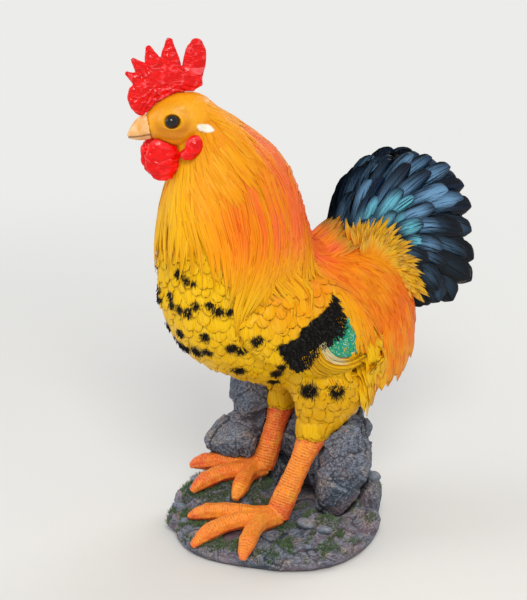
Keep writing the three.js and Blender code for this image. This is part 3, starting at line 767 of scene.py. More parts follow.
def body_paint(tones, place, shade):
    """The breast's yellow, the flank's orange and the thigh's gold."""
    x, y, z = place
    flank = ease(abs(x), 34, 58) * ease(y, -78, -30) * ease(z, 205, 262)
    colour = mixed(tones.yellow, tones.gold, clamp(ease(z, 215, 140) * 0.8 + shade * 0.25))
    return mixed(colour, tones.orange, clamp(flank * (0.85 + 0.3 * shade)))


# Colours mixed into feather paint: a dark wash and painted shade in its grooves, painted shade at its
# root where the feather before overlaps it, a browner dye at its tip, and a line round its rim that is
# partly dark wash and partly painted shadow under the edge
GROOVE_WASH_AND_SHADE, ROOT_SHADE, TIP_DYE = (0.62, 0.3, 0.1), (0.5, 0.3, 0.1), (0.75, 0.42, 0.1)
RIM_WASH_AND_SHADE = (0.05, 0.024, 0.003)


def feather_finish(name, lines, rim=0.0, length=1.0, barbs=13, soot=False):
    """Satin paint in a feather's own tint, with a dark wash and painted shade in its fine grooves and on
    its rim, and painted shade at its root.
    """
    finish = Finish(name, {"Specular IOR Level": 0.1})
    across, share = finish.vane()
    seed = finish.attribute("seed", "Fac")
    tint = finish.attribute("tint")
    fine = finish.grain(finish.combine(across * barbs + seed * 9, share * 1.2 * length, seed), 1.0, 1.0)
    broad = finish.grain(finish.combine(across * 5 + seed * 5, share * 0.9 * length, seed), 1.0, 2.0)
    groove = (1 - fine.ease(0.3, 0.46)) * share.ease(0.0, 0.3) * lines
    light = finish.mix(0.3, tint, (1.0, 0.8, 0.25), "SCREEN")
    colour = finish.mix(broad.ease(0.4, 0.7) * 0.35, tint, light)
    # Partly dark wash, partly painted shade in the fine grooves
    colour = finish.mix(groove, colour, finish.dyed(colour, GROOVE_WASH_AND_SHADE))
    # Painted shade at the root, where the feather before overlaps it
    root = 1 - share.ease(0.0, 0.3)
    colour = finish.mix(root * 0.12, colour, finish.dyed(colour, ROOT_SHADE))
    if rim:
        edge = (abs(across * 2 - 1).ease(0.8, 1.0) * share.ease(0.45, 0.7)).higher(share.ease(0.9, 1.0))
        ragged = finish.grain(finish.place(), 2.4, 3.0)
        warm = finish.dyed(colour, TIP_DYE)
        colour = finish.mix(share.ease(0.55, 0.95) * ragged.ease(0.45, 0.7) * 0.6, colour, warm)
        # The rim line: partly dark wash, partly painted shadow under the feather's edge
        colour = finish.mix(edge * ragged.ease(0.36, 0.56) * rim, colour, RIM_WASH_AND_SHADE)
    if soot:
        colour = sooty(finish, colour)
    height = fine.ease(0.25, 0.6) * 0.8 + broad * 0.6
    return finish.surface(colour, 0.3 + groove * 0.3, height=height, depth=0.6, strength=0.6)


def sooty(finish, colour):
    """Black sprayed on in fine upright strokes where the soot attribute is high."""
    hair = finish.grain(finish.place(1, 1, 0.14), 0.7, 3.0, 0.6)
    mask = (finish.attribute("soot", "Fac") + (hair - 0.5) * 1.6).ease(0.25, 0.85)
    return finish.mix(mask, colour, (0.006, 0.005, 0.004))


def ground_finish():
    """The skin between the feathers: the same paints darkened a quarter as painted shade between the
    feathers, with a fine grain.
    """
    finish = Finish("plumage_ground", {"Roughness": 0.45, "Specular IOR Level": 0.15})
    tint = finish.attribute("tint")
    fine = finish.grain(finish.place(1, 1, 0.25), 1.2, 3.0)
    # Painted shade: the skin between the feathers is darker than the feathers
    colour = finish.mix(0.25, tint, finish.dyed(tint, (0.6, 0.4, 0.2)))
    colour = finish.mix(fine.ease(0.4, 0.7) * 0.4, colour, tint)
    return finish.surface(colour, height=fine, depth=0.4)


class ROOSTER_OT_ground(bpy.types.Operator):
    """Make the body's skin under the feathers, in place of the torso and the wings"""

    bl_idname = "rooster.ground"
    bl_label = "Body skin"

    def execute(self, context):
        tones = Tones(context.scene.rooster_plumage)
        skin = skin_of(*BODY_SKIN)
        push(skin, lambda p, n: -1.6 + 2.8 * over_pins(p))

        def colour(place, normal):
            if in_bar(place):
                return tones.soot
            if place.z > 240 and place.y < -30:
                return mixed(tones.yellow, tones.orange, ease(abs(place.x), 45, 75) * 0.5)
            if place.z > 285 or saddle_zone(place):
                return mixed(tones.orange, tones.fire, 0.3)
            return body_paint(tones, place, wobble(place, 20))

        tint_all(skin, colour)
        hidden = ("torso_shell", "left_wing", "right_wing")
        new_piece("body_skin", skin, ground_finish(), hidden)
        return {"FINISHED"}


class ROOSTER_OT_hackle(bpy.types.Operator):
    """Comb the long neck feathers back from the face and down to the shoulders"""

    bl_idname = "rooster.hackle"
    bl_label = "Hackle"

    def execute(self, context):
        tones, sizes = Tones(context.scene.rooster_plumage), context.scene.rooster_sizes
        coat, rng = Coat(STRAND, body_skin()[0]), random.Random(11)
        for row in range(sizes.hackle_rows):
            share = row / (sizes.hackle_rows - 1)
            count = round(neck_girth(0.25 + 0.55 * share) / (sizes.hackle_width * HACKLE_PITCH))
            for k in range(count):
                turn = 360 * (k + 0.5 * (row % 2) + rng.uniform(-0.3, 0.3)) / count - 180
                self.strand(coat, turn, share, sizes, tones, rng)
        new_piece("hackle", coat.bm, feather_finish("hackle_paint", 0.8, length=1.6, barbs=7))
        return {"FINISHED"}

    def strand(self, coat, turn, row, sizes, tones, rng):
        first, last = hackle_start(turn), hackle_end(turn)
        uneven = 0.05 * wobble((turn / 14, 5.1, 2.2), 1.0, 2)
        end = mixed(mixed(first, last, 0.35), last, row ** 0.75) + rng.uniform(-0.13, 0.02) + uneven
        begin = max(first + rng.uniform(0, 0.02), end - rng.uniform(0.4, 0.56))
        width = sizes.hackle_width * rng.uniform(0.75, 1.3)
        width *= 0.5 + 0.5 * ease(begin + end, 0.25, 1.0)
        lift = (0.3 + 0.5 * rng.random() * ease(end, last - 0.12, last)) * sizes.lift
        phase = rng.random()
        over = 1.7 * ease(end, last - 0.3, last - 0.1) * (1 - ease(abs(turn), 70, 100))
        line = []
        for step in range(15):
            fall = mixed(begin, end, step / 14)
            line.append(coat.skin.find_nearest(neck_place(fall, swept(turn, fall)) * MM)[:2])

        def colour(place, across, share):
            fall = mixed(begin, end, share)
            streak = wobble((turn / 4 + phase * 0.5, fall * 2.0, 3.7), 1.0, 2) * 1.2
            return hackle_paint(tones, fall, swept(turn, fall), clamp(0.5 + streak))

        def rise(share, across):
            lock = 0.7 * wobble((turn / 9, mixed(begin, end, share) * 3, 6.6), 1.0, 2)
            sink = mixed(0.0, -0.5, ease(share, 0.8, 1.0)) + over * ease(share, 0.3, 0.75)
            height = mixed(-0.9, 0.7, ease(share, 0.0, 0.1)) + lock * ease(share, 0, 0.2)
            return height + lift * share ** 2 + sink

        coat.lay(line, lambda s: width * lancet(s, 0.5, 0.3, 0.6), rise, colour, 1.0, 0.75)


class ROOSTER_OT_breast(bpy.types.Operator):
    """Lay round breast, flank and thigh feathers like fish scales"""

    bl_idname = "rooster.breast"
    bl_label = "Breast and thighs"

    def execute(self, context):
        tones, sizes = Tones(context.scene.rooster_plumage), context.scene.rooster_sizes
        tree, points = body_skin()
        coat, rng = Coat(SCALE, tree), random.Random(5)
        for spot in reversed(scatter(points, sizes.scallop_width * SCALLOP_GAP, scallop_zone)):
            self.scallop(coat, spot, sizes, tones, rng)
        finish = feather_finish("scallop_paint", 0.3, rim=1.0, soot=True)
        new_piece("breast_scallops", coat.bm, finish)
        return {"FINISHED"}

    def scallop(self, coat, spot, sizes, tones, rng):
        place = spot / MM
        big = mixed(1, 0.82, ease(place.z, 240, 280)) + rng.uniform(-0.2, 0.2)
        width, length = sizes.scallop_width * big, sizes.scallop_length * big
        shade = rng.uniform(-0.6, 0.6)
        aside = rng.uniform(-0.25, 0.25)
        high = sizes.lift * rng.uniform(0.5, 1.05)

        def heading(p):
            return Vector((0, aside + 0.25 + 0.5 * ease(p.z, 215, 165), -1))

        def colour(p, across, share):
            if in_bar(p):
                return tones.soot
            return body_paint(tones, p, shade + wobble(p, 24))

        line = trace(coat.skin, spot, heading, length, 5)
        near = smudges_near(place, 30)
        coat.lay(line, lambda s: width * rounded(s),
                 lambda s, a: -1.0 + (1.3 + high) * s * (1 - 0.3 * a * a), colour, 0.5,
                 soot=(lambda p: soot_at(p, near)) if near else None)


# Outlines of the wing's black bar and of its green patch, as y and z in millimetres
WING_BAR = (
    (24, 256), (33, 230), (31, 222), (16, 213), (5, 208), (1, 202), (-3, 192), (-12, 188),
    (-20, 194), (-35, 215), (-18, 222), (-14, 230), (5, 240), (15, 244),
)
WING_PATCH = ((35, 232), (44, 222), (51, 204), (40, 196), (28, 195), (8, 204), (20, 222))
WING_CENTRE = Vector((0, 34, 222))
# The wings lie further out from the middle than this
WING_DEPTH = 40


def inside(outline, y, z):
    """Whether a place of the side view lies inside a closed outline."""
    found = False
    for (y1, z1), (y2, z2) in zip(outline, outline[1:] + outline[:1]):
        if (z1 > z) != (z2 > z) and y < y1 + (z - z1) * (y2 - y1) / (z2 - z1):
            found = not found
    return found


def in_bar(place):
    """Whether a place lies in the black bar of either wing."""
    x, y, z = place
    return abs(x) > WING_DEPTH and inside(WING_BAR, y, z)


def scallop_zone(place):
    """Whether breast or thigh feathers grow at a place."""
    x, y, z = place
    if z > 190 and y > 17 + (300 - z) * 0.2:
        return False
    bowed = math.hypot(y - WING_CENTRE.y, z - WING_CENTRE.z) < 49 and y > -4 and z < 205
    if abs(x) > WING_DEPTH and (bowed or inside(WING_BAR, y, z) or inside(WING_PATCH, y, z)):
        return False
    under_hackle = (z > 290 and y > -60) or (z > 270 and y > -30)
    return z < 312 - 26 * ease(abs(x), 30, 60) and not under_hackle


def saddle_zone(place):
    """Whether saddle feathers grow at a place."""
    x, y, z = place
    if y < 8 + (300 - z) * 0.2 or z < 196 or (abs(x) < 9 and y > 70):
        return False
    return z > 238 or y > 70


class ROOSTER_OT_wing(bpy.types.Operator):
    """Add the wing's black bar, its glittering patch and the bowed feathers under it"""

    bl_idname = "rooster.wing"
    bl_label = "Wings"

    def execute(self, context):
        tones = Tones(context.scene.rooster_plumage)
        tree, points = body_skin()
        rng = random.Random(31)
        self.tufts(tree, points, tones, rng)
        coat = Coat(STRAND, tree)
        rings = 12
        for side in SIDES.values():
            for ring in range(rings):
                self.bowed(coat, side, ring, tones, rng)
            self.tips(coat, side, tones, rng)
        finish = feather_finish("wing_paint", 0.9, rim=0.9, length=1.6, barbs=6)
        new_piece("wing_feathers", coat.bm, finish)
        coat = Coat(PATCH, tree)
        for side in SIDES.values():
            line = trace(tree, Vector((side * 70, 36, 233)) * MM, lambda p: (0, -0.22, -1), 38, 10)
            coat.lay(line, self.patch_half, lambda s, a: 0.9, lambda p, a, s: tones.glitter, 1.6)
        new_piece("wing_patches", coat.bm, glitter_finish(tones))
        return {"FINISHED"}

    def patch_half(self, share):
        """Half width of the glittering patch, which widens downwards to a round end."""
        return 20 * ease(share, -0.15, 0.78) * math.sqrt(max(0.0, 1 - ease(share, 0.72, 1.1) ** 2))

    def tufts(self, tree, points, tones, rng):
        """Short black hair on the bar and over each smudge."""
        coat = Coat(TUFT)
        for point in points:
            place = point / MM
            bar = in_bar(place)
            near = [] if bar else smudges_near(place, 12)
            if not bar and soot_at(place, near) < 0.6 + 0.4 * rng.random():
                continue
            ground, normal = tree.find_nearest(point)[:2]
            for _ in range(7 if bar else 2):
                way = Vector((0, rng.uniform(-0.5, 0.7), rng.uniform(-1.2, -0.2)))
                way = (way - normal * way.dot(normal)).normalized()
                shift = Vector([rng.uniform(-1.3, 1.3) for _ in range(3)]) * MM
                start = ground + shift - normal * (0.5 if bar else -0.6) * MM
                tall = rng.uniform(2.6, 4.2) if bar else rng.uniform(1.2, 2.0)
                end = start + (way * rng.uniform(2.5, 4.5) + normal * tall) * MM
                # Painted highlight: each tuft is a little paler towards its tip
                shine = rng.random() ** 4 * 0.05
                coat.lay([(start, normal), (end, normal)],
                         lambda s: (1.15 if bar else 0.42) * (1 - 0.85 * s), lambda s, a: 0.0,
                         lambda p, a, s: tones.soot + Vector((1, 1, 1)) * shine * s, 0.6)
        finish = Finish("soot_paint", {"Specular IOR Level": 0.12})
        fine = finish.grain(finish.place(), 0.9, 2.0)
        finish.surface(finish.attribute("tint"), 0.4 + fine * 0.3)
        new_piece("black_tufts", coat.bm, finish.material)

    def bowed(self, coat, side, ring, tones, rng):
        """A long feather that bows round the patch, from under the bar towards the tail."""
        radius = 25 + 2.3 * ring
        turn = math.radians(196 + ring * 0.8)
        start = WING_CENTRE + Vector((side * 70, radius * math.cos(turn), radius * math.sin(turn)))
        grow = rng.uniform(0.0, 0.08)

        def heading(p):
            y, z = p.y - WING_CENTRE.y, p.z - WING_CENTRE.z
            return Vector((0, -z + grow * y, y + grow * z))

        length = radius * math.radians(rng.uniform(100, 128))
        line = trace(coat.skin, start * MM, heading, length, 14)
        pale = tones.cream if ring < 3 else mixed(tones.yellow, tones.gold, rng.random())
        tone = pale * rng.uniform(0.85, 1.05)
        width = rng.uniform(1.7, 2.1)
        coat.lay(line, lambda s: width * lancet(s, 0.7),
                 lambda s, a: 1.5 - 0.05 * ring + 0.5 * s - 1.6 * abs(a) ** 3,
                 fading(tone, tones.yellow, 0.45, 0.8), 2.0)

    def tips(self, coat, side, tones, rng):
        """Broader feather tips that stick out under the bowed ones, in two rows."""
        rows, count = 2, 9
        for row in range(rows):
            for k in range(count):
                share = (k + 0.5 * row + rng.uniform(-0.2, 0.2)) / (count - 0.5)
                turn = math.radians(mixed(236, 336, share))
                out = Vector((0, math.cos(turn), math.sin(turn)))
                start = WING_CENTRE + Vector((side * 62, 0, 0)) + out * (30 + 7 * row)
                bend = rng.uniform(0.5, 0.9)
                way = out + Vector((0, bend, -0.25))
                line = trace(coat.skin, start * MM, lambda p: way, rng.uniform(26, 34), 7, 0.6)
                tone = mixed(tones.yellow, tones.gold, rng.uniform(0, 0.7))
                width = rng.uniform(4.2, 5.4)
                lift = rng.uniform(1.0, 2.0)
                coat.lay(line, lambda s: width * rounded(s, 0.8), lambda s, a: -0.6 + lift * s,
                         fading(tones.orange, tone, 0, 0.5), 0.9)


def glitter_finish(tones):
    """Green glitter: tiny cells of green and teal flakes, with pale metal flakes that are painted glints.
    """
    finish = Finish("glitter_paint", {"Specular IOR Level": 0.2})
    flakes = finish.node("ShaderNodeTexVoronoi", {}, {"Vector": finish.place(), "Scale": 0.95}, output=1)
    pick = finish.node("ShaderNodeSeparateColor", {}, {0: flakes})
    shine = pick.beside(1)
    colour = finish.mix(pick.ease(0.2, 0.75), tones.glitter, tones.flake_teal)
    # Painted glints: the pale flakes stand in for glitter catching the light
    colour = finish.mix(shine.ease(0.88, 0.92) * 0.8, colour, tones.flake_pale)
    colour = finish.mix((1 - shine.ease(0.1, 0.2)) * 0.5, colour, tones.flake_lime)
    return finish.surface(colour, 0.25 + pick * 0.3, height=pick, depth=0.6)


class ROOSTER_OT_saddle(bpy.types.Operator):
    """Lay the long saddle feathers that fan out over the back and hang at the rump"""

    bl_idname = "rooster.saddle"
    bl_label = "Saddle"

    def execute(self, context):
        tones, sizes = Tones(context.scene.rooster_plumage), context.scene.rooster_sizes
        tree, points = body_skin()
        coat, rng = Coat(STRAND, tree), random.Random(23)
        for spot in scatter(points, sizes.saddle_width * SADDLE_GAP, saddle_zone):
            self.strand(coat, spot, sizes, tones, rng)
        hangers, tiers, manes = 36, 3, 90
        for side in SIDES.values():
            for k in range(hangers * tiers):
                self.hanger(coat, side, k // tiers / (hangers - 1), -14 * (k % tiers), sizes, tones, rng)
        finish = feather_finish("saddle_paint", 0.75, length=1.5, barbs=7)
        new_piece("saddle", coat.bm, finish)
        ruff = Coat(STRAND, tree)
        for side in SIDES.values():
            for k in range(manes):
                self.mane(ruff, side, k / (manes - 1), sizes, tones, rng)
        ruff.skin = None
        for side in SIDES.values():
            self.fringe(ruff, tree, side, sizes, tones, rng)
        new_piece("tail_ruff", ruff.bm, finish)
        return {"FINISHED"}

    def strand(self, coat, spot, sizes, tones, rng):
        side = 1 if spot.x > 0 else -1
        heart = Vector((side * SADDLE_HEART.x, SADDLE_HEART.y, SADDLE_HEART.z))
        width = sizes.saddle_width * rng.uniform(0.75, 1.25)
        place = spot / MM
        aside = rng.uniform(-0.12, 0.12) + 0.25 * wobble(place, 30)

        def heading(p):
            out = Vector((0, p.y - heart.y + 8, p.z - heart.z + 4)).normalized()
            top = 1 - ease(abs(p.x), 12, 38)
            fall = (0.1 + 1.0 * ease(p.z, 295, 215)) * (1 - top)
            return mixed(out, Vector((0, 1, 0)), top) + Vector((0, aside, -fall))

        length = rng.uniform(40, 58) * mixed(1, 0.6, ease(place.y, 60, 110) * ease(place.z, 230, 270))
        line = trace(coat.skin, spot, heading, length, 9, cling=0.8)
        hot = rng.uniform(-0.25, 0.25)
        lift = sizes.lift * rng.uniform(0.8, 1.5)

        def colour(p, across, share):
            return saddle_paint(tones, p, heart, hot)

        def rise(share, across):
            root = mixed(-0.9, 0.4, ease(share, 0, 0.3))
            return root + lift * share ** 2 - 1.1 * ease(share, 0.75, 1.0)

        coat.lay(line, lambda s: width * lancet(s, 0.5), rise, colour, 0.95, 0.6)

    def hanger(self, coat, side, share, lower, sizes, tones, rng):
        """A feather at the rump whose tip hangs free."""
        out, back, up = mixed(62, 22, share ** 1.3), mixed(62, 104, ease(share)), mixed(198, 232, share)
        start = Vector((side * out, back, up))
        start += Vector((0, rng.uniform(-7, 7), rng.uniform(-9, 9) + lower))
        way = Vector((side * 0.12, mixed(0.15, 0.3, share), -1))
        long = rng.uniform(38, 54) * mixed(0.75, 1.05, ease(share, 0, 0.3))
        line = trace(coat.skin, start * MM, lambda p: way, long, 9, cling=mixed(0.12, 0.4, share))
        hot = ease(share + rng.uniform(-0.1, 0.1), 0.15, 0.5)
        tone = mixed(tones.yellow, mixed(tones.orange, tones.fire, rng.uniform(0.3, 1)), hot)
        tip = mixed(tones.yellow, tones.orange, clamp(hot * rng.uniform(0.5, 1.2)))
        width = sizes.saddle_width * rng.uniform(1.5, 2.0)
        coat.lay(line, lambda s: width * lancet(s, 0.6, 0.4, 0.45),
                 lambda s, a: mixed(-0.8, 1.2, ease(s, 0, 0.4)), fading(tone, tip, 0.4, 1), 1.1, 0.5)

    def mane(self, coat, side, share, sizes, tones, rng):
        """A feather that rises from the back in front of the tail."""
        out = rng.uniform(0, 34)
        start = Vector((side * out, mixed(36, 78, share), 292 - 0.3 * out))
        climb = mixed(0.85, 0.4, out / 34) + rng.uniform(-0.12, 0.12)
        way = Vector((side * rng.uniform(-0.05, 0.1), 1, climb))
        line = trace(coat.skin, start * MM, lambda p: way, rng.uniform(24, 32), 7, cling=0.03)
        tip = mixed(tones.gold, tones.umber, rng.uniform(0.1, 0.9))
        root = mixed(tones.coral, tones.orange, rng.uniform(0, 0.8))
        width = sizes.saddle_width * rng.uniform(1.0, 1.4)
        coat.lay(line, lambda s: width * lancet(s, 0.8, 0.3, 0.7), lambda s, a: -0.6,
                 fading(root, tip, 0.3, 0.9), 1.0, 0.5)

    def fringe(self, coat, tree, side, sizes, tones, rng):
        """Short upright feathers round the root of the tail."""
        root = Vector((0, *TAIL_ROOT))
        rows, count = 3, 56
        for row in range(rows):
            for k in range(count):
                share = (k + 0.5 * (row % 2) + rng.uniform(-0.4, 0.4)) / count
                angle = math.radians(mixed(112 + 14 * side, -30, share))
                way = Vector((0, math.cos(angle), math.sin(angle)))
                x = side * (25 + 4 * row)
                start = tree.ray_cast((root + Vector((x, 0, 0)) + way * 150) * MM, -way)[0]
                if start is None:
                    continue
                length = rng.uniform(25, 37) - 4 * row + 4 * ease(angle, 0.5, 1.6)
                sweep = Vector((0, math.sin(angle), -math.cos(angle))) * rng.uniform(4, 9)
                lean = Vector((side, 0, 0)) + way * 0.2
                line = []
                for step in range(6):
                    share = step / 5
                    run = share * length - 9
                    droop = Vector((side * 6 * share, 0, -2 * share)) + sweep * share * share
                    line.append((start + (way * run + droop) * MM, lean.normalized()))
                tone = mixed(tones.yellow, tones.straw, rng.random()) * rng.uniform(0.95, 1.08)
                width = sizes.saddle_width * rng.uniform(0.6, 0.95)
                coat.lay(line, lambda s: width * lancet(s, 0.7, 0.3, 0.6), lambda s, a: 0.0,
                         fading(tones.orange, tone, 0.35, 0.95), 1.0)


def saddle_paint(tones, place, heart, hot):
    """Coral at the fan's heart, fire orange outward, yellow over the wing and at the tail."""
    y, z = place[1] - heart.y, place[2] - heart.z
    out = math.hypot(y, z)
    angle = math.degrees(math.atan2(-z, y))
    colour = mixed(tones.coral, tones.fire, clamp(ease(out, 16, 60) + hot))
    colour = mixed(colour, tones.orange, clamp(ease(out, 30, 75) * 0.7 + hot))
    colour = mixed(colour, tones.fire, ease(out, 95, 135) * ease(angle, 15, 35) * 0.9)
    over_wing = ease(angle, 50, 74) * ease(out, 12, 55)
    colour = mixed(colour, mixed(tones.orange, tones.yellow, 0.65), over_wing)
    fringe = ease(out, 58, 96) * (1 - ease(angle, 10, 30))
    return mixed(colour, mixed(tones.yellow, tones.gold, 0.4), fringe)


# Tail

def fan_point(angle, share, x):
    """A point of the tail's fan: its angle above the rear, its share of the reach there, and x."""
    reach = along(TAIL_REACH, (angle - TAIL_LOW) / (TAIL_HIGH - TAIL_LOW)) * share
    turn = math.radians(angle)
    return Vector((x, TAIL_ROOT[0] + reach * math.cos(turn), TAIL_ROOT[1] + reach * math.sin(turn)))


# How far a blade bends down from its root to its tip, in degrees, and its widths along it
BLADE_SWEEP = 40
BLADE_WIDTHS = (0.42, 0.6, 0.85, 1.0, 1.02, 0.92)
# Rows from the middle out: tip angles, blades more than set, reaches, distances from the middle, width
TAIL_ROWS = (
    ((92, -38), 0, (0.96, 0.99), (3, 3.5), 1.1),
    ((97, -36), 1, (0.985, 0.985), (9, 14), 1.1),
    ((102, -28), -1, (0.84, 0.93), (12, 19), 1.0),
    ((106, -22), -2, (0.64, 0.74), (14, 22.5), 0.9),
    ((110, -18), -3, (0.44, 0.54), (16, 25), 0.75),
)


def tail_finish():
    """Glossy black with blue pearl in the tint, partly painted sheen and glints, and fine slanting barbs.
    """
    constants = {"Specular IOR Level": 0.06, "Coat Weight": 0.16, "Coat Roughness": 0.06}
    finish = Finish("tail_paint", constants)
    across, share = finish.vane()
    seed = finish.attribute("seed", "Fac")
    tint = finish.attribute("tint")
    slant = abs(across - 0.5) * 2
    barb = (share * 170 - slant * 30 + finish.grain(finish.place(), 6, 2) * 7).sine()
    brush = finish.grain(finish.combine(across * 8 + seed * 5, share * 2.5 + slant, seed), 1.0, 3.0, 0.6)
    fine = finish.grain(finish.combine(across * 30 + seed * 5, share * 6 - slant * 2, seed), 1.0, 2.0)
    pearl = brush.ease(0.34, 0.54) * (0.85 + barb * 0.15)
    colour = finish.mix(pearl, finish.dyed(tint, (0.05, 0.06, 0.07)), tint)
    colour = finish.mix((1 - fine.ease(0.3, 0.46)) * 0.55, colour, (0.002, 0.003, 0.004))
    height = barb * 0.16 + fine * 0.8 + brush * 0.6
    return finish.surface(colour, 0.16 + brush * 0.25, height=height, depth=0.7)


class ROOSTER_OT_tail(bpy.types.Operator):
    """Fan out the tail in rows of curved blades, with the longest row in the middle"""

    bl_idname = "rooster.tail"
    bl_label = "Tail"

    def execute(self, context):
        settings = context.scene.rooster_tail
        tones, rng = Tones(settings), random.Random(3)
        core = skin_of(("tail",), 2.4, 6)
        push(core, lambda p, n: -3.6)
        ground = Finish("tail_ground", {"Base Color": (*tones.black, 1.0), "Specular IOR Level": 0.1})
        grain = ground.grain(ground.place(), 2.0, 3.0)
        ground.surface(roughness=0.25 + grain * 0.25, height=grain, depth=0.6)
        new_piece("tail_core", core, ground.material, ("tail",))
        coat = Coat(BLADE)
        for side in SIDES.values():
            for row in TAIL_ROWS:
                self.row(coat, side, row, settings, tones, rng)
        new_piece("tail_blades", coat.bm, tail_finish())
        return {"FINISHED"}

    def row(self, coat, side, row, settings, tones, rng):
        """Lays one of the tail's rows on a side, from its highest tip down to its lowest."""
        tips, more, reaches, (low, high), broad = row
        count = settings.blades + more
        for k in range(count):
            tip = mixed(*tips, k / (count - 1)) + rng.uniform(-2, 2)
            reach = rng.uniform(*reaches)
            width = settings.blade_width * broad * rng.uniform(0.9, 1.08)
            self.blade(coat, side, tip, reach, (low, high + 2.6 * (k % 2)), width, tones, rng)

    def blade(self, coat, side, tip, reach, stand, width, tones, rng):
        line = []
        reach *= 1 - 0.16 * ease(tip, 86, 104)
        width *= 1 - 0.3 * ease(tip, 82, 104)
        for step in range(15):
            share = step / 14
            angle = tip + BLADE_SWEEP * (1 - share) ** 1.3
            x = mixed(*stand, math.sin(share * math.pi * 0.62))
            turn = math.radians(angle)
            lean = Vector((side, 0.32 * math.sin(turn), -0.32 * math.cos(turn)))
            line.append((fan_point(angle, mixed(0.1, reach, share), side * x) * MM, lean.normalized()))
        edge = ease(reach, 0.84, 0.95) * (1 - ease(tip, 8, 42))
        # How much blue pearl and painted sheen a blade gets: less on the lower blades and at the fan's
        # outer edge
        bright = rng.uniform(0.4, 1.7) * mixed(0.18, 1.0, ease(tip, -20, 50)) * (1 - 0.65 * edge)
        touch = rng.uniform(0.5, 0.85)
        painted_glint = rng.uniform(0.7, 1.0) if rng.random() < 0.28 and reach < 0.9 and tip > -14 else 0.04

        # Blue along the ridge near one spot of the blade: partly the blades' pearl paint, partly painted
        # sheen; the teal touches are painted glints
        def colour(place, across, share):
            ridge = max(0.0, 1 - abs(across + 0.15) ** 1.4)
            blue = clamp(ridge ** 1.6 * hill(share, touch, 0.18 - 0.06 * painted_glint) * bright * 1.6)
            dark = mixed(tones.black, tones.navy, clamp(ease(share, 0.25, 0.6) * bright * ridge * 0.35))
            return mixed(mixed(dark, tones.pearl, blue), tones.teal, blue * painted_glint)

        def half(share):
            end = max(0.0, share - 0.86) / 0.141
            return width * along(BLADE_WIDTHS, share) * math.sqrt(max(0.0, 1 - end ** 2))

        coat.lay(line, half, lambda s, a: -1.6 * a * a, colour, 1.5)


# Head

